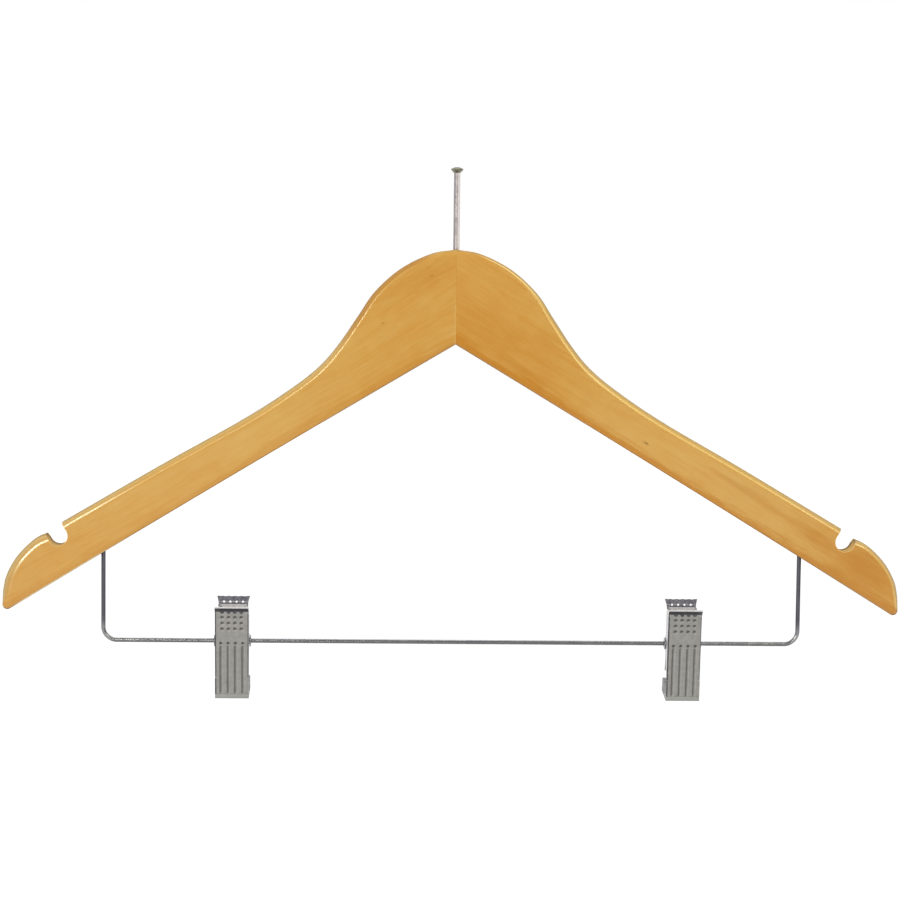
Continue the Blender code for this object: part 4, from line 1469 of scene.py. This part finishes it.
@dataclass
class WireBar:
    """The plated wire bar, with a round bend at each end and legs that rise into the arms."""

    half_span = 168.1 * MM
    LEVEL = -226.1 * MM
    bend_radius: float = 6.5 * MM
    wire_radius: float = 1.05 * MM

    def path(self) -> list[Triple]:
        """The wire's centre line, from the right leg's top to the left leg's."""
        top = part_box("clip_bar")[1][2]
        inner, bend_z = self.half_span - self.bend_radius, self.LEVEL + self.bend_radius
        leg = [(self.half_span, z) for z in np.linspace(top, bend_z, 12)[:-1]]
        bend = arc((inner, bend_z), self.bend_radius, 0.0, -QUARTER, 16)
        right = leg + bend + [(x, self.LEVEL) for x in np.linspace(inner, 0.0, 30)[1:-1]]
        return [(x, 0.0, z) for x, z in right + [(0.0, self.LEVEL)] + [(-x, z) for x, z in reversed(right)]]

    def build(self, shop: Shop) -> None:
        """Makes the bar and hands it over."""
        bar = swept_wire("wire_bar", self.path(), self.wire_radius, 20, shop.finishes.wire, shop)
        shop.hand_over(bar, "hanger", "clip_bar", "wire_chrome")


def swept_wire(
    name: str, path: Sequence[Triple], radius: float, sides: int, material: bpy.types.Material, shop: Shop
) -> bpy.types.Object:
    """A round wire along a path.

    Args:
        name: The object's name.
        path: Its centre line.
        radius: Its radius.
        sides: Number of sides.
        material: Its finish.
        shop: The shared finishes and trees.

    Returns:
        The wire as a plain mesh.
    """
    line = mesh_object(name, path, [], [(i, i + 1) for i in range(len(path) - 1)])
    shop.put(line, shop.wire, {"Radius": radius, "Sides": sides, "Material": material})
    wire = plain_copy(line)
    weld(wire.data)
    shade(wire, 40.0)
    return wire


# Clips


@dataclass
class PressedLever:
    """A lever pressed from sheet steel: thumb lip, dimpled plate with grooves, jaw lip, and flanges with ears.

    The front lever is built with its outer face at -Y. The rear one is the same shape, narrower, turned about Z.
    """

    kind: LeverKind
    width: float
    tongue_width: float
    lip_flare: float
    sheet: float = 0.6 * MM
    plate: float = 8.7 * MM
    bend: float = 1.2 * MM
    side_bend: float = 0.9 * MM
    thumb_top: float = 19.2 * MM
    lip_length: float = 2.9 * MM
    lip_angle: float = math.radians(40)
    lip_wave: float = 0.0
    jaw_lip_top: float = 24.4 * MM
    jaw_lip_length: float = 6.2 * MM
    tongue_top: float = 16.1 * MM
    flange_top: float = 16.2 * MM
    flange_mm: tuple[Pair, ...] = ((5.0, 16.2), (6.9, 13.0), (6.9, 6.2), (5.2, 4.9))
    foot_mm: tuple[Pair, ...] = ((2.2, -14.1), (1.3, -16.1))
    ear_radius: float = 3.6 * MM
    ear_from: float = math.radians(130)
    ear_to: float = math.radians(-125)
    hole_z: float = 16.8 * MM
    hole_pitch: float = 3.05 * MM
    row_pitch: float = 2.87 * MM
    punched_radius: float = 0.55 * MM
    axle_radius: float = 2.1 * MM
    cell: float = 0.2 * MM

    def spine(self) -> np.ndarray:
        """The outer face's line in the y, z plane, from the thumb lip's edge down to the jaw lip's.

        Returns:
            Points at an even spacing.
        """
        out = -self.plate
        rise = self.lip_length * math.cos(self.lip_angle)
        reach = self.lip_length * math.sin(self.lip_angle)
        bend_z = self.thumb_top - rise
        swing = self.bend * math.tan(self.lip_angle / 2)
        top = arc((out - self.bend, bend_z - swing), self.bend, self.lip_angle, 0.0, 8)
        bottom = -self.jaw_lip_top - self.sheet
        low = arc((out + self.bend, bottom + self.bend), self.bend, math.pi, 1.5 * math.pi, 12)
        line = [(out - reach, self.thumb_top), *top, *low, (out + self.jaw_lip_length, bottom)]
        return resampled(np.array(line), self.cell)

    def sheet_mesh(self) -> bpy.types.Object:
        """The outer skin of the sheet: a fine grid for the plate, and bent sides that run into flat flanges.

        Returns:
            The open skin, one face thick.
        """
        spine = self.spine()
        half = self.width / 2
        flat_half = half - self.side_bend
        columns = np.linspace(-flat_half, flat_half, 2 * round(flat_half / self.cell) + 1)
        tongue_half = min(self.tongue_width, self.width) / 2
        middle = np.flatnonzero((spine[:, 1] < self.flange_top) & (spine[:, 1] > -self.tongue_top))
        lip = round(self.lip_length / self.cell)
        verts = []
        for row, (y, z) in enumerate(spine):
            drop = self.lip_wave * max(0.0, 1 - row / lip)
            verts += [(x, y, z - drop * (0.5 + 0.5 * math.sin(TURN * x / self.hole_pitch))) for x in columns]
        wide = len(columns)
        faces = grid_faces(len(spine), wide)
        for side in (-1, 1):
            starts = np.arange(len(spine)) * wide + (0 if side < 0 else wide - 1)
            self.add_flange(verts, faces, spine, middle, starts, side)
            self.add_wing(verts, faces, spine, np.arange(middle[0]), starts, side, half, self.lip_flare)
            if tongue_half > flat_half:
                lower = np.arange(middle[-1] + 1, len(spine))
                self.add_wing(verts, faces, spine, lower, starts, side, tongue_half, 0.0)
        skin = mesh_object(f"{self.kind.value}_lever_skin", verts, faces)
        if tongue_half < flat_half:
            self.trim_tongue(skin)
        return skin

    def trim_tongue(self, skin: bpy.types.Object) -> None:
        """Narrows the tongue below the flanges.

        Args:
            skin: The lever's skin.
        """
        edge = self.tongue_width / 2
        foot = -self.tongue_top - 0.3 * MM
        with opened(skin.data) as shape:
            middles = [(face, face.calc_center_median()) for face in shape.faces]
            gone = [face for face, middle in middles if abs(middle.x) > edge and middle.z < foot]
            bmesh.ops.delete(shape, geom=gone, context="FACES")

    @staticmethod
    def stitch(faces: list[tuple[int, ...]], starts: Sequence[int], base: int, steps: int) -> list[int]:
        """Joins a strip of new points to the column of the plate that it starts from.

        Args:
            faces: The skin's faces, which grow.
            starts: The column's points, one for each row.
            base: Number of the strip's first point.
            steps: How many points the strip has in a row.

        Returns:
            The strip's outermost point in each row.
        """
        strip = [[start, *range(base + row * steps, base + (row + 1) * steps)] for row, start in enumerate(starts)]
        for upper, lower in zip(strip, strip[1:]):
            faces += [(upper[s], upper[s + 1], lower[s + 1], lower[s]) for s in range(steps)]
        return [row[-1] for row in strip]

    def add_wing(
        self, verts: list, faces: list, spine: np.ndarray, rows: np.ndarray, starts: np.ndarray, side: int,
        half: float, flare: float,
    ) -> None:
        """Widens the plate to its full width where it has no flange.

        Args:
            verts: The skin's points, which grow.
            faces: The skin's faces, which grow.
            spine: The plate's line.
            rows: The rows that are widened.
            starts: The plate's outermost point in every row.
            side: -1 for the left side, 1 for the right.
            half: Half the full width.
            flare: How much wider the topmost row is.
        """
        flat_half = self.width / 2 - self.side_bend
        steps = max(2, round((half - flat_half) / self.cell))
        base = len(verts)
        lip = max(1, round(self.lip_length / self.cell))
        for r in rows:
            extra = flare * max(0.0, 1 - r / lip)
            for s in range(1, steps + 1):
                x = side * (flat_half + (half + extra - flat_half) * s / steps)
                verts.append((x, *spine[r]))
        self.stitch(faces, starts[rows], base, steps)

    def add_flange(
        self, verts: list, faces: list, spine: np.ndarray, rows: np.ndarray, starts: np.ndarray, side: int
    ) -> None:
        """Bends the plate's side round and adds the flat flange with its ear.

        Args:
            verts: The skin's points, which grow.
            faces: The skin's faces, which grow.
            spine: The plate's line.
            rows: The rows that have the flange.
            starts: The plate's outermost point in every row.
            side: -1 for the left side, 1 for the right.
        """
        half = self.width / 2
        turn = [(half - self.side_bend + self.side_bend * math.sin(a), self.side_bend * (1 - math.cos(a)))
                for a in np.linspace(0, QUARTER, 7)[1:]]
        turn.append((half, self.side_bend + 0.15 * MM))
        base = len(verts)
        for r in rows:
            verts += [(side * x, spine[r][0] + depth, spine[r][1]) for x, depth in turn]
        fold = self.stitch(faces, starts[rows], base, len(turn))
        out = -self.plate
        ear = arc((0.0, 0.0), self.ear_radius, self.ear_from, self.ear_to, 40)
        top_z, foot_z = spine[rows[0]][1], spine[rows[-1]][1]
        first, *rest = [(out + d * MM, z * MM) for d, z in self.flange_mm]
        *feet, toe = [(out + d * MM, z * MM) for d, z in self.foot_mm]
        rim = [(first[0], top_z), *rest, *ear, *feet, (toe[0], foot_z)]
        start = len(verts)
        verts += [(side * half, y, z) for y, z in rim]
        faces.append(tuple(fold[::-1]) + tuple(range(start, start + len(rim))))

    def press_values(self, material: bpy.types.Material) -> dict[str, Any]:
        """Sizes of the dimples and grooves."""
        return {
            "Plate Y": -self.plate, "Dimple columns": 4, "Dimple rows": 3, "Dimple pitch X": self.hole_pitch,
            "Dimple pitch Z": self.row_pitch, "Dimple bottom Z": self.hole_z - 3 * self.row_pitch,
            "Dimple radius": 1.02 * MM, "Dimple depth": 0.16 * MM,
            "Groove count": 4, "Groove pitch": 3.5 * MM, "Groove top Z": -0.7 * MM,
            "Groove length": 22.8 * MM, "Groove radius": 0.85 * MM, "Groove depth": 0.42 * MM,
            "Head radius": 0.85 * MM, "Head depth": 0.5 * MM, "Head rise": 1.8 * MM, "Material": material,
        }

    def build(self, shop: Shop) -> bpy.types.Object:
        """Makes the lever about the wire's axis.

        Args:
            shop: The shared finishes and trees.

        Returns:
            The lever.
        """
        satin = shop.finishes.lever[0]
        lever = self.sheet_mesh()
        shop.put(lever, shop.press, self.press_values(satin))
        wall = lever.modifiers.new("sheet", "SOLIDIFY")
        wall.thickness = self.sheet
        wall.offset = -1.0
        wall.use_even_offset = True
        lever = plain_copy(lever)
        if self.kind is LeverKind.REAR:
            pitch = self.hole_pitch
            shop.put(lever, shop.drill, {
                "Count": 4, "First": (-1.5 * pitch, -self.plate, self.hole_z + 0.3 * MM), "Step": (pitch, 0.0, 0.0),
                "Turn": (QUARTER, 0.0, 0.0), "Radius": self.punched_radius, "Length": 5 * MM, "Material": satin,
            })
        shop.put(lever, shop.drill, {
            "Count": 1, "First": (0.0, 0.0, 0.0), "Step": (1 * MM, 0.0, 0.0), "Turn": (0.0, QUARTER, 0.0),
            "Radius": self.axle_radius, "Length": 30 * MM, "Sides": 40, "Material": satin,
        })
        lever = plain_copy(lever)
        self.dress(lever, shop.finishes.lever)
        if self.kind is LeverKind.REAR:
            lever.data.transform(Matrix.Rotation(math.pi, 4, "Z"))
        shade(lever, 34.0)
        return lever

    def dress(self, lever: bpy.types.Object, finishes: Sequence[bpy.types.Material]) -> None:
        """Gives the outer face, the inside and the thumb lips their own plating, and paints light and shade on the
        lever.

        Args:
            lever: The lever, still as a front one.
            finishes: Satin face, pale inside (also a painted highlight), painted shade, and violet lip (also painted
                shade), in that order.
        """
        lever.data.materials.clear()
        for finish in finishes:
            lever.data.materials.append(finish)
        front = self.kind is LeverKind.FRONT
        # The rear lever's violet lip plating runs 0.8 mm below the holes as painted shade.
        lip, lip_foot = (2, self.hole_z + 0.1 * MM) if front else (3, self.hole_z - 0.8 * MM)
        for face in lever.data.polygons:
            place, way = face.center, face.normal
            outer = way.y < -0.25 and place.y < -self.plate + 0.75 * MM
            fold = outer and 0.5 < abs(way.x) < 0.93 and abs(place.x) > self.width / 2 - self.side_bend
            beside = min(abs(place.x - n * self.hole_pitch) for n in (-1.5, -0.5, 0.5, 1.5))
            top_row_shade = front and math.hypot(beside / 1.15, place.z - self.hole_z + 0.1 * MM) < 0.85 * MM
            left_edge_shade = front and place.x < 0.7 * MM - self.width / 2 and place.z > -self.jaw_lip_top
            # Painted highlight: the front thumb lip's top edge takes the pale inside plating.
            if front and place.z > self.thumb_top - 0.3 * MM:
                face.material_index = 1
            # Painted shade on the front thumb lip, on the side bends, in spots where the front's top row of marks would
            # be, and along the front's left edge.
            elif place.z > lip_foot or fold or (outer and (top_row_shade or left_edge_shade)):
                face.material_index = lip
            else:
                face.material_index = 0 if outer else 1


@dataclass
class JawCushion:
    """A soft vinyl pad that slips over a lever's jaw lip."""

    kind: LeverKind
    width: float = 16.2 * MM
    plate: float = 8.7 * MM
    sheet: float = 0.6 * MM
    bend: float = 1.2 * MM
    top: float = 19.6 * MM
    bottom: float = 26.6 * MM
    sole: float = 1.3 * MM
    roundness: float = 0.7 * MM
    lip_top: float = 24.4 * MM
    lip_length: float = 6.2 * MM
    gap: float = 0.3 * MM
    snug: float = 0.06 * MM
    soft_edge: float = 0.3 * MM
    rib_radius: float = 0.42 * MM
    rib_pitch: float = 1.3 * MM
    first_rib: float = 1.4 * MM

    def outline(self) -> list[Pair]:
        """The pad in the y, z plane, front side."""
        out, inside = -self.plate, -self.gap / 2
        behind = out + self.sheet + self.gap / 3
        slot_top = -self.lip_top + self.gap / 3
        slot_bottom = -self.bottom + self.sole
        slot_end = out + self.lip_length + self.gap
        r = self.roundness
        return [
            *arc((behind + r, -self.top - r), r, 2 * QUARTER, QUARTER, 6),
            *arc((inside - r, -self.top - r), r, QUARTER, 0.0, 6),
            *arc((inside - r, -self.bottom + r), r, 0.0, -QUARTER, 6),
            *arc((out + r, -self.bottom + r), r, -QUARTER, -2 * QUARTER, 6),
            *arc((out + self.bend, -self.lip_top - self.sheet + self.bend), self.bend + self.snug,
                 2 * QUARTER + 0.36, 3 * QUARTER, 8),
            (slot_end - self.gap, slot_bottom + 0.2 * MM),
            (slot_end, slot_bottom + 0.2 * MM),
            (slot_end, slot_top),
            (out + 1.5 * MM, slot_top),
            (behind, slot_top + 0.6 * MM),
        ]

    def build(self, shop: Shop) -> bpy.types.Object:
        """Makes the cushion about the wire's axis, with ribs across its gripping face.

        Args:
            shop: The shared finishes and trees.

        Returns:
            The cushion.
        """
        pad = prism(f"{self.kind.value}_cushion", self.outline(), -self.width / 2, self.width / 2)
        soft = pad.modifiers.new("soft_edges", "BEVEL")
        soft.width = self.soft_edge
        soft.segments = 3
        soft.limit_method = "ANGLE"
        soft.angle_limit = math.radians(50)
        pad = plain_copy(pad)
        shop.put(pad, shop.drill, {
            "Count": 4, "First": (0.0, -self.gap / 2 + 0.15 * MM, -self.top - self.first_rib),
            "Step": (0.0, 0.0, -self.rib_pitch), "Turn": (0.0, QUARTER, 0.0), "Radius": self.rib_radius,
            "Length": 40 * MM, "Sides": 16,
            "Material": shop.finishes.vinyl,
        })
        pad = plain_copy(pad)
        if self.kind is LeverKind.REAR:
            pad.data.transform(Matrix.Rotation(math.pi, 4, "Z"))
        shade(pad, 35.0)
        return pad


@dataclass
class PivotTube:
    """The tube through the ears, flared over them at both ends and bored for the wire."""

    bore: float = 1.35 * MM
    wall: float = 0.45 * MM
    rim_radius: float = 2.9 * MM
    rim_thickness: float = 0.5 * MM
    shoulder: float = 8.4 * MM

    def build(self) -> bpy.types.Object:
        """Makes the tube about the X axis."""
        outer = self.bore + self.wall
        end = self.shoulder + self.rim_thickness
        roll = self.rim_thickness / 2
        rim = arc((self.rim_radius - roll, self.shoulder + roll), roll, QUARTER, -QUARTER, 10)
        mouth = arc((self.bore + 0.35 * MM, end - 0.35 * MM), 0.35 * MM, 2 * QUARTER, QUARTER, 6)
        half = [*mouth, *rim, (outer, self.shoulder)]
        profile = [*half, *[(radius, -height) for radius, height in reversed(half)]]
        tube = lathe("pivot_tube", profile, 40)
        tube.data.transform(Matrix.Rotation(QUARTER, 4, "Y"))
        shade(tube, 35.0)
        return tube


@dataclass
class TorsionSpring:
    """The clip's spring: a coil round the tube, and a leg on each lever's inside.

    Each leg begins in an arc that runs inside the coil's flat end turn, so it turns with its lever as the coil winds.
    """

    wire: float = 1.0 * MM
    leg_wire: float = 0.94 * MM
    radius: float = 2.9 * MM
    turns: int = 4
    turn_pitch: float = 1.7 * MM
    flat_turn: float = 0.7
    tucked_turn: float = 0.4
    leg_y: float = 7.3 * MM
    leg_top: float = 10.0 * MM
    leg_end: float = 2.0 * MM

    def ends(self) -> Triple:
        """The coil's first and last angle, and half its length."""
        leave = tangent_angle((0, 0), self.radius, (self.leg_y, self.leg_top - self.leg_end), -1)
        start, end = math.pi - leave, leave + TURN * (self.turns + 1)
        return start, end, (end - start) / TURN * self.turn_pitch / 2

    def wound(self, places: np.ndarray, angles: np.ndarray) -> list[Triple]:
        """Points round the tube, from their places along it and their angles."""
        return [(x, self.radius * math.cos(a), self.radius * math.sin(a)) for x, a in zip(places, angles)]

    def coil(self) -> list[Triple]:
        """The coil's centre line, with a flat turn at each end."""
        start, end, half = self.ends()
        angles = np.linspace(start, end, round((end - start) / TURN * 32) + 1)
        places = np.interp(angles, (start + self.flat_turn, end - self.flat_turn), (-half, half))
        return self.wound(places, angles)

    def leg(self, side: int) -> list[Triple]:
        """One leg's centre line, from its tip to the end of the arc inside the coil.

        Args:
            side: -1 for the front lever's leg, 1 for the rear lever's.

        Returns:
            The points.
        """
        start, end, half = self.ends()
        first = start if side < 0 else end
        heights = np.linspace(self.leg_top, self.leg_top - self.leg_end, 5)
        straight = [(side * half, side * self.leg_y, z) for z in heights]
        angles = np.linspace(first, first - side * self.tucked_turn, 8)
        return [*straight, *self.wound(np.full(8, side * half), angles)]

    def build(self, shop: Shop) -> list[bpy.types.Object]:
        """Makes the spring about the wire's axis.

        Args:
            shop: The shared finishes and trees.

        Returns:
            The coil, the front leg and the rear leg.
        """
        finish = shop.finishes.spring
        coil = swept_wire("spring_coil", self.coil(), self.wire / 2, 12, finish, shop)
        legs = [swept_wire("spring_leg", self.leg(side), self.leg_wire / 2, 12, finish, shop) for side in (-1, 1)]
        return [coil, *legs]


@dataclass
class Clip:
    """One sprung clip: tube, spring, two levers and two cushions, hung on the wire bar."""

    side: Side
    place: float
    tilt: float = math.radians(7.8)
    width: float = 16.2 * MM
    rear_width: float = 14.4 * MM
    rear_tongue: float = 12.4 * MM
    rear_flare: float = 0.7 * MM

    def hang(self, thing: bpy.types.Object) -> None:
        """Puts a piece at its place on the bar, swung about the wire."""
        move = Matrix.Translation((self.place, 0.0, WireBar.LEVEL)) @ Matrix.Rotation(self.tilt, 4, "X")
        thing.data.transform(move)

    def build(self, shop: Shop) -> None:
        """Makes every piece of the clip and hands it over.

        Args:
            shop: The shared finishes and trees.
        """
        word = f"{self.side.word}_clip"
        finishes = shop.finishes
        front = PressedLever(LeverKind.FRONT, self.width, self.width, 0.0)
        rear = PressedLever(LeverKind.REAR, self.rear_width, self.rear_tongue, self.rear_flare, lip_wave=0.25 * MM)
        coil, front_leg, rear_leg = TorsionSpring().build(shop)
        made = [
            (PivotTube().build(), "slider", "pivot_tube", "tube_chrome", [finishes.tube]),
            (coil, "core", "spring", "spring_steel", []),
            (front.build(shop), "front", "front_lever", "lever_steel", []),
            (rear.build(shop), "rear", "rear_lever", "lever_steel", []),
            (JawCushion(LeverKind.FRONT).build(shop), "front", "front_cushion", "cushion_vinyl", []),
            (JawCushion(LeverKind.REAR).build(shop), "rear", "rear_cushion", "cushion_vinyl", []),
        ]
        for thing, body, node, slot, materials in made:
            self.hang(thing)
            thing.name = f"{word}_{node}_look"
            shop.hand_over(thing, f"{word}_{body}", f"{word}_{node}", slot, materials)
        for thing, body in ((front_leg, "front"), (rear_leg, "rear")):
            self.hang(thing)
            thing.name = f"{word}_spring_{body}_leg_look"
            shop.hand_over(thing, f"{word}_{body}", None, "spring_steel")


# Studio


@dataclass
class Studio:
    """The plain pale room, its soft lamps, and the camera at the photograph's angle."""

    floor_z: float = -0.42
    floor_size: float = 9.0
    camera_place: Triple = (-0.0431, -1.2478, -0.0368)
    yaw: float = math.radians(1.89)
    pitch: float = math.radians(4.4)
    roll: float = math.radians(-0.66)
    lens: float = 104.0
    sensor: float = 36.0

    MIDDLE_Z = -0.13

    def camera(self) -> None:
        """Adds the camera."""
        forward = Vector((
            math.sin(self.yaw) * math.cos(self.pitch), math.cos(self.yaw) * math.cos(self.pitch),
            -math.sin(self.pitch),
        ))
        across = Vector((math.cos(self.yaw), -math.sin(self.yaw), 0.0))
        down = forward.cross(across)
        right = math.cos(self.roll) * across + math.sin(self.roll) * down
        low = -math.sin(self.roll) * across + math.cos(self.roll) * down
        data = bpy.data.cameras.new("camera")
        data.lens = self.lens
        data.sensor_width = self.sensor
        data.clip_start = 0.01
        data.clip_end = 50.0
        thing = new_object("camera", data)
        turn = Matrix((right, -low, -forward)).transposed().to_4x4()
        thing.matrix_world = Matrix.Translation(self.camera_place) @ turn
        bpy.context.scene.camera = thing

    @staticmethod
    def place(across: float, up: float, distance: float = 2.0) -> Triple:
        """A place in front of the hanger, by its direction from it.

        Args:
            across: Degrees to the right.
            up: Degrees above.
            distance: How far it is, in metres.

        Returns:
            The place.
        """
        a, e = math.radians(across), math.radians(up)
        return (
            distance * math.sin(a) * math.cos(e), -distance * math.cos(a) * math.cos(e),
            distance * math.sin(e) + Studio.MIDDLE_Z,
        )

    def lamp(self, name: str, place: Triple, size: Pair, power: float, colour: Triple = WHITE) -> None:
        """Adds a soft lamp that points at the hanger.

        Args:
            name: The lamp's name.
            place: Where it stands.
            size: Its width and height, in metres.
            power: Its power, in watts.
            colour: Its colour.
        """
        data = bpy.data.lights.new(name, "AREA")
        data.shape = "RECTANGLE"
        data.size, data.size_y = size
        data.energy = power
        data.color = colour
        thing = new_object(name, data)
        thing.location = place
        aim = Vector((0.0, 0.0, self.MIDDLE_Z)) - Vector(place)
        thing.rotation_euler = aim.to_track_quat("-Z", "Y").to_euler()

    def world(self) -> None:
        """Lights the room evenly, with a white background for the eye and for shiny metal."""
        world = bpy.data.worlds.new("room")
        world.use_nodes = True
        bpy.context.scene.world = world
        world.node_tree.nodes.clear()
        tree = Tree(world.node_tree)
        path = tree.add("ShaderNodeLightPath").outputs
        seen = tree.math("MAXIMUM", path["Is Camera Ray"], path["Is Transmission Ray"])
        toward = tree.parts(tree.add("ShaderNodeTexCoord").outputs["Generated"])
        behind = tree.span(toward[1], -0.9, 0.35, 0.22, 1.0)
        shiny = tree.times(path["Is Glossy Ray"], behind)
        soft = tree.math("SUBTRACT", 1.0, tree.math("MAXIMUM", seen, path["Is Glossy Ray"]))
        strength = tree.math("ADD", tree.math("ADD", seen, shiny), tree.times(soft, 0.42))
        shader = tree.add("ShaderNodeBackground", {"Color": (*WHITE, 1.0), "Strength": strength})
        output = tree.add("ShaderNodeOutputWorld")
        tree.feed(output.inputs["Surface"], shader.outputs[0])

    def floor(self) -> None:
        """Adds the plain pale floor, which keeps the hanger's shadow."""
        half = self.floor_size / 2
        corners = [(-half, -half, self.floor_z), (half, -half, self.floor_z), (half, half, self.floor_z),
                   (-half, half, self.floor_z)]
        thing = mesh_object("floor", corners, [(0, 1, 2, 3)])
        material = bpy.data.materials.new("pale_floor")
        material.use_nodes = True
        tree = Tree(material.node_tree)
        tree.tree.nodes.clear()
        path = tree.add("ShaderNodeLightPath").outputs
        seen = tree.math("MAXIMUM", path["Is Camera Ray"], path["Is Transmission Ray"])
        seen = tree.math("MAXIMUM", seen, path["Is Glossy Ray"])
        place = tree.add("ShaderNodeTexCoord").outputs["Object"]
        away = tree.measure("LENGTH", place)
        strength = tree.times(seen, tree.span(away, 0.4, 3.5, 0.62, 0.86))
        glow = tree.add("ShaderNodeEmission", {"Color": (*WHITE, 1.0), "Strength": strength})
        matt = tree.add("ShaderNodeBsdfDiffuse", {"Color": (0.60, 0.60, 0.60, 1.0)})
        both = tree.add("ShaderNodeAddShader", {0: glow.outputs[0], 1: matt.outputs[0]})
        output = tree.add("ShaderNodeOutputMaterial")
        tree.feed(output.inputs["Surface"], both.outputs[0])
        thing.data.materials.append(material)

    def build(self) -> None:
        """Sets up the room, the lamps, the camera and the plain view."""
        self.world()
        self.floor()
        warm = (1.0, 0.94, 0.78)
        self.lamp("key", self.place(-18, 15), (0.8, 0.28), 11.0, warm)
        self.lamp("low_left", (-1.096, -1.749, 0.28), (0.56, 0.34), 8.5, warm)
        self.lamp("right", self.place(26, 22), (0.9, 0.6), 8.5, (1.0, 0.95, 0.72))
        self.lamp("top", (0.1, 0.35, 1.6), (1.6, 1.0), 10.0)
        self.camera()
        bpy.context.scene.view_settings.view_transform = "Standard"


def main() -> None:
    """Builds the hanger's looks and the room around it."""
    logging.basicConfig(level=logging.INFO, format="%(name)s: %(message)s")
    Studio().build()
    shop = Shop()
    WoodenArm(Side.LEFT, tip_soft_radius=4.0 * MM).build(shop)
    WoodenArm(Side.RIGHT).build(shop)
    HangingPin().build(shop)
    WireBar().build(shop)
    Clip(Side.LEFT, -105.9 * MM).build(shop)
    Clip(Side.RIGHT, 112.0 * MM).build(shop)
    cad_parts["centre_spline"].material_slots[0].material = shop.finishes.bare_wood


if __name__ == "__main__":
    main()
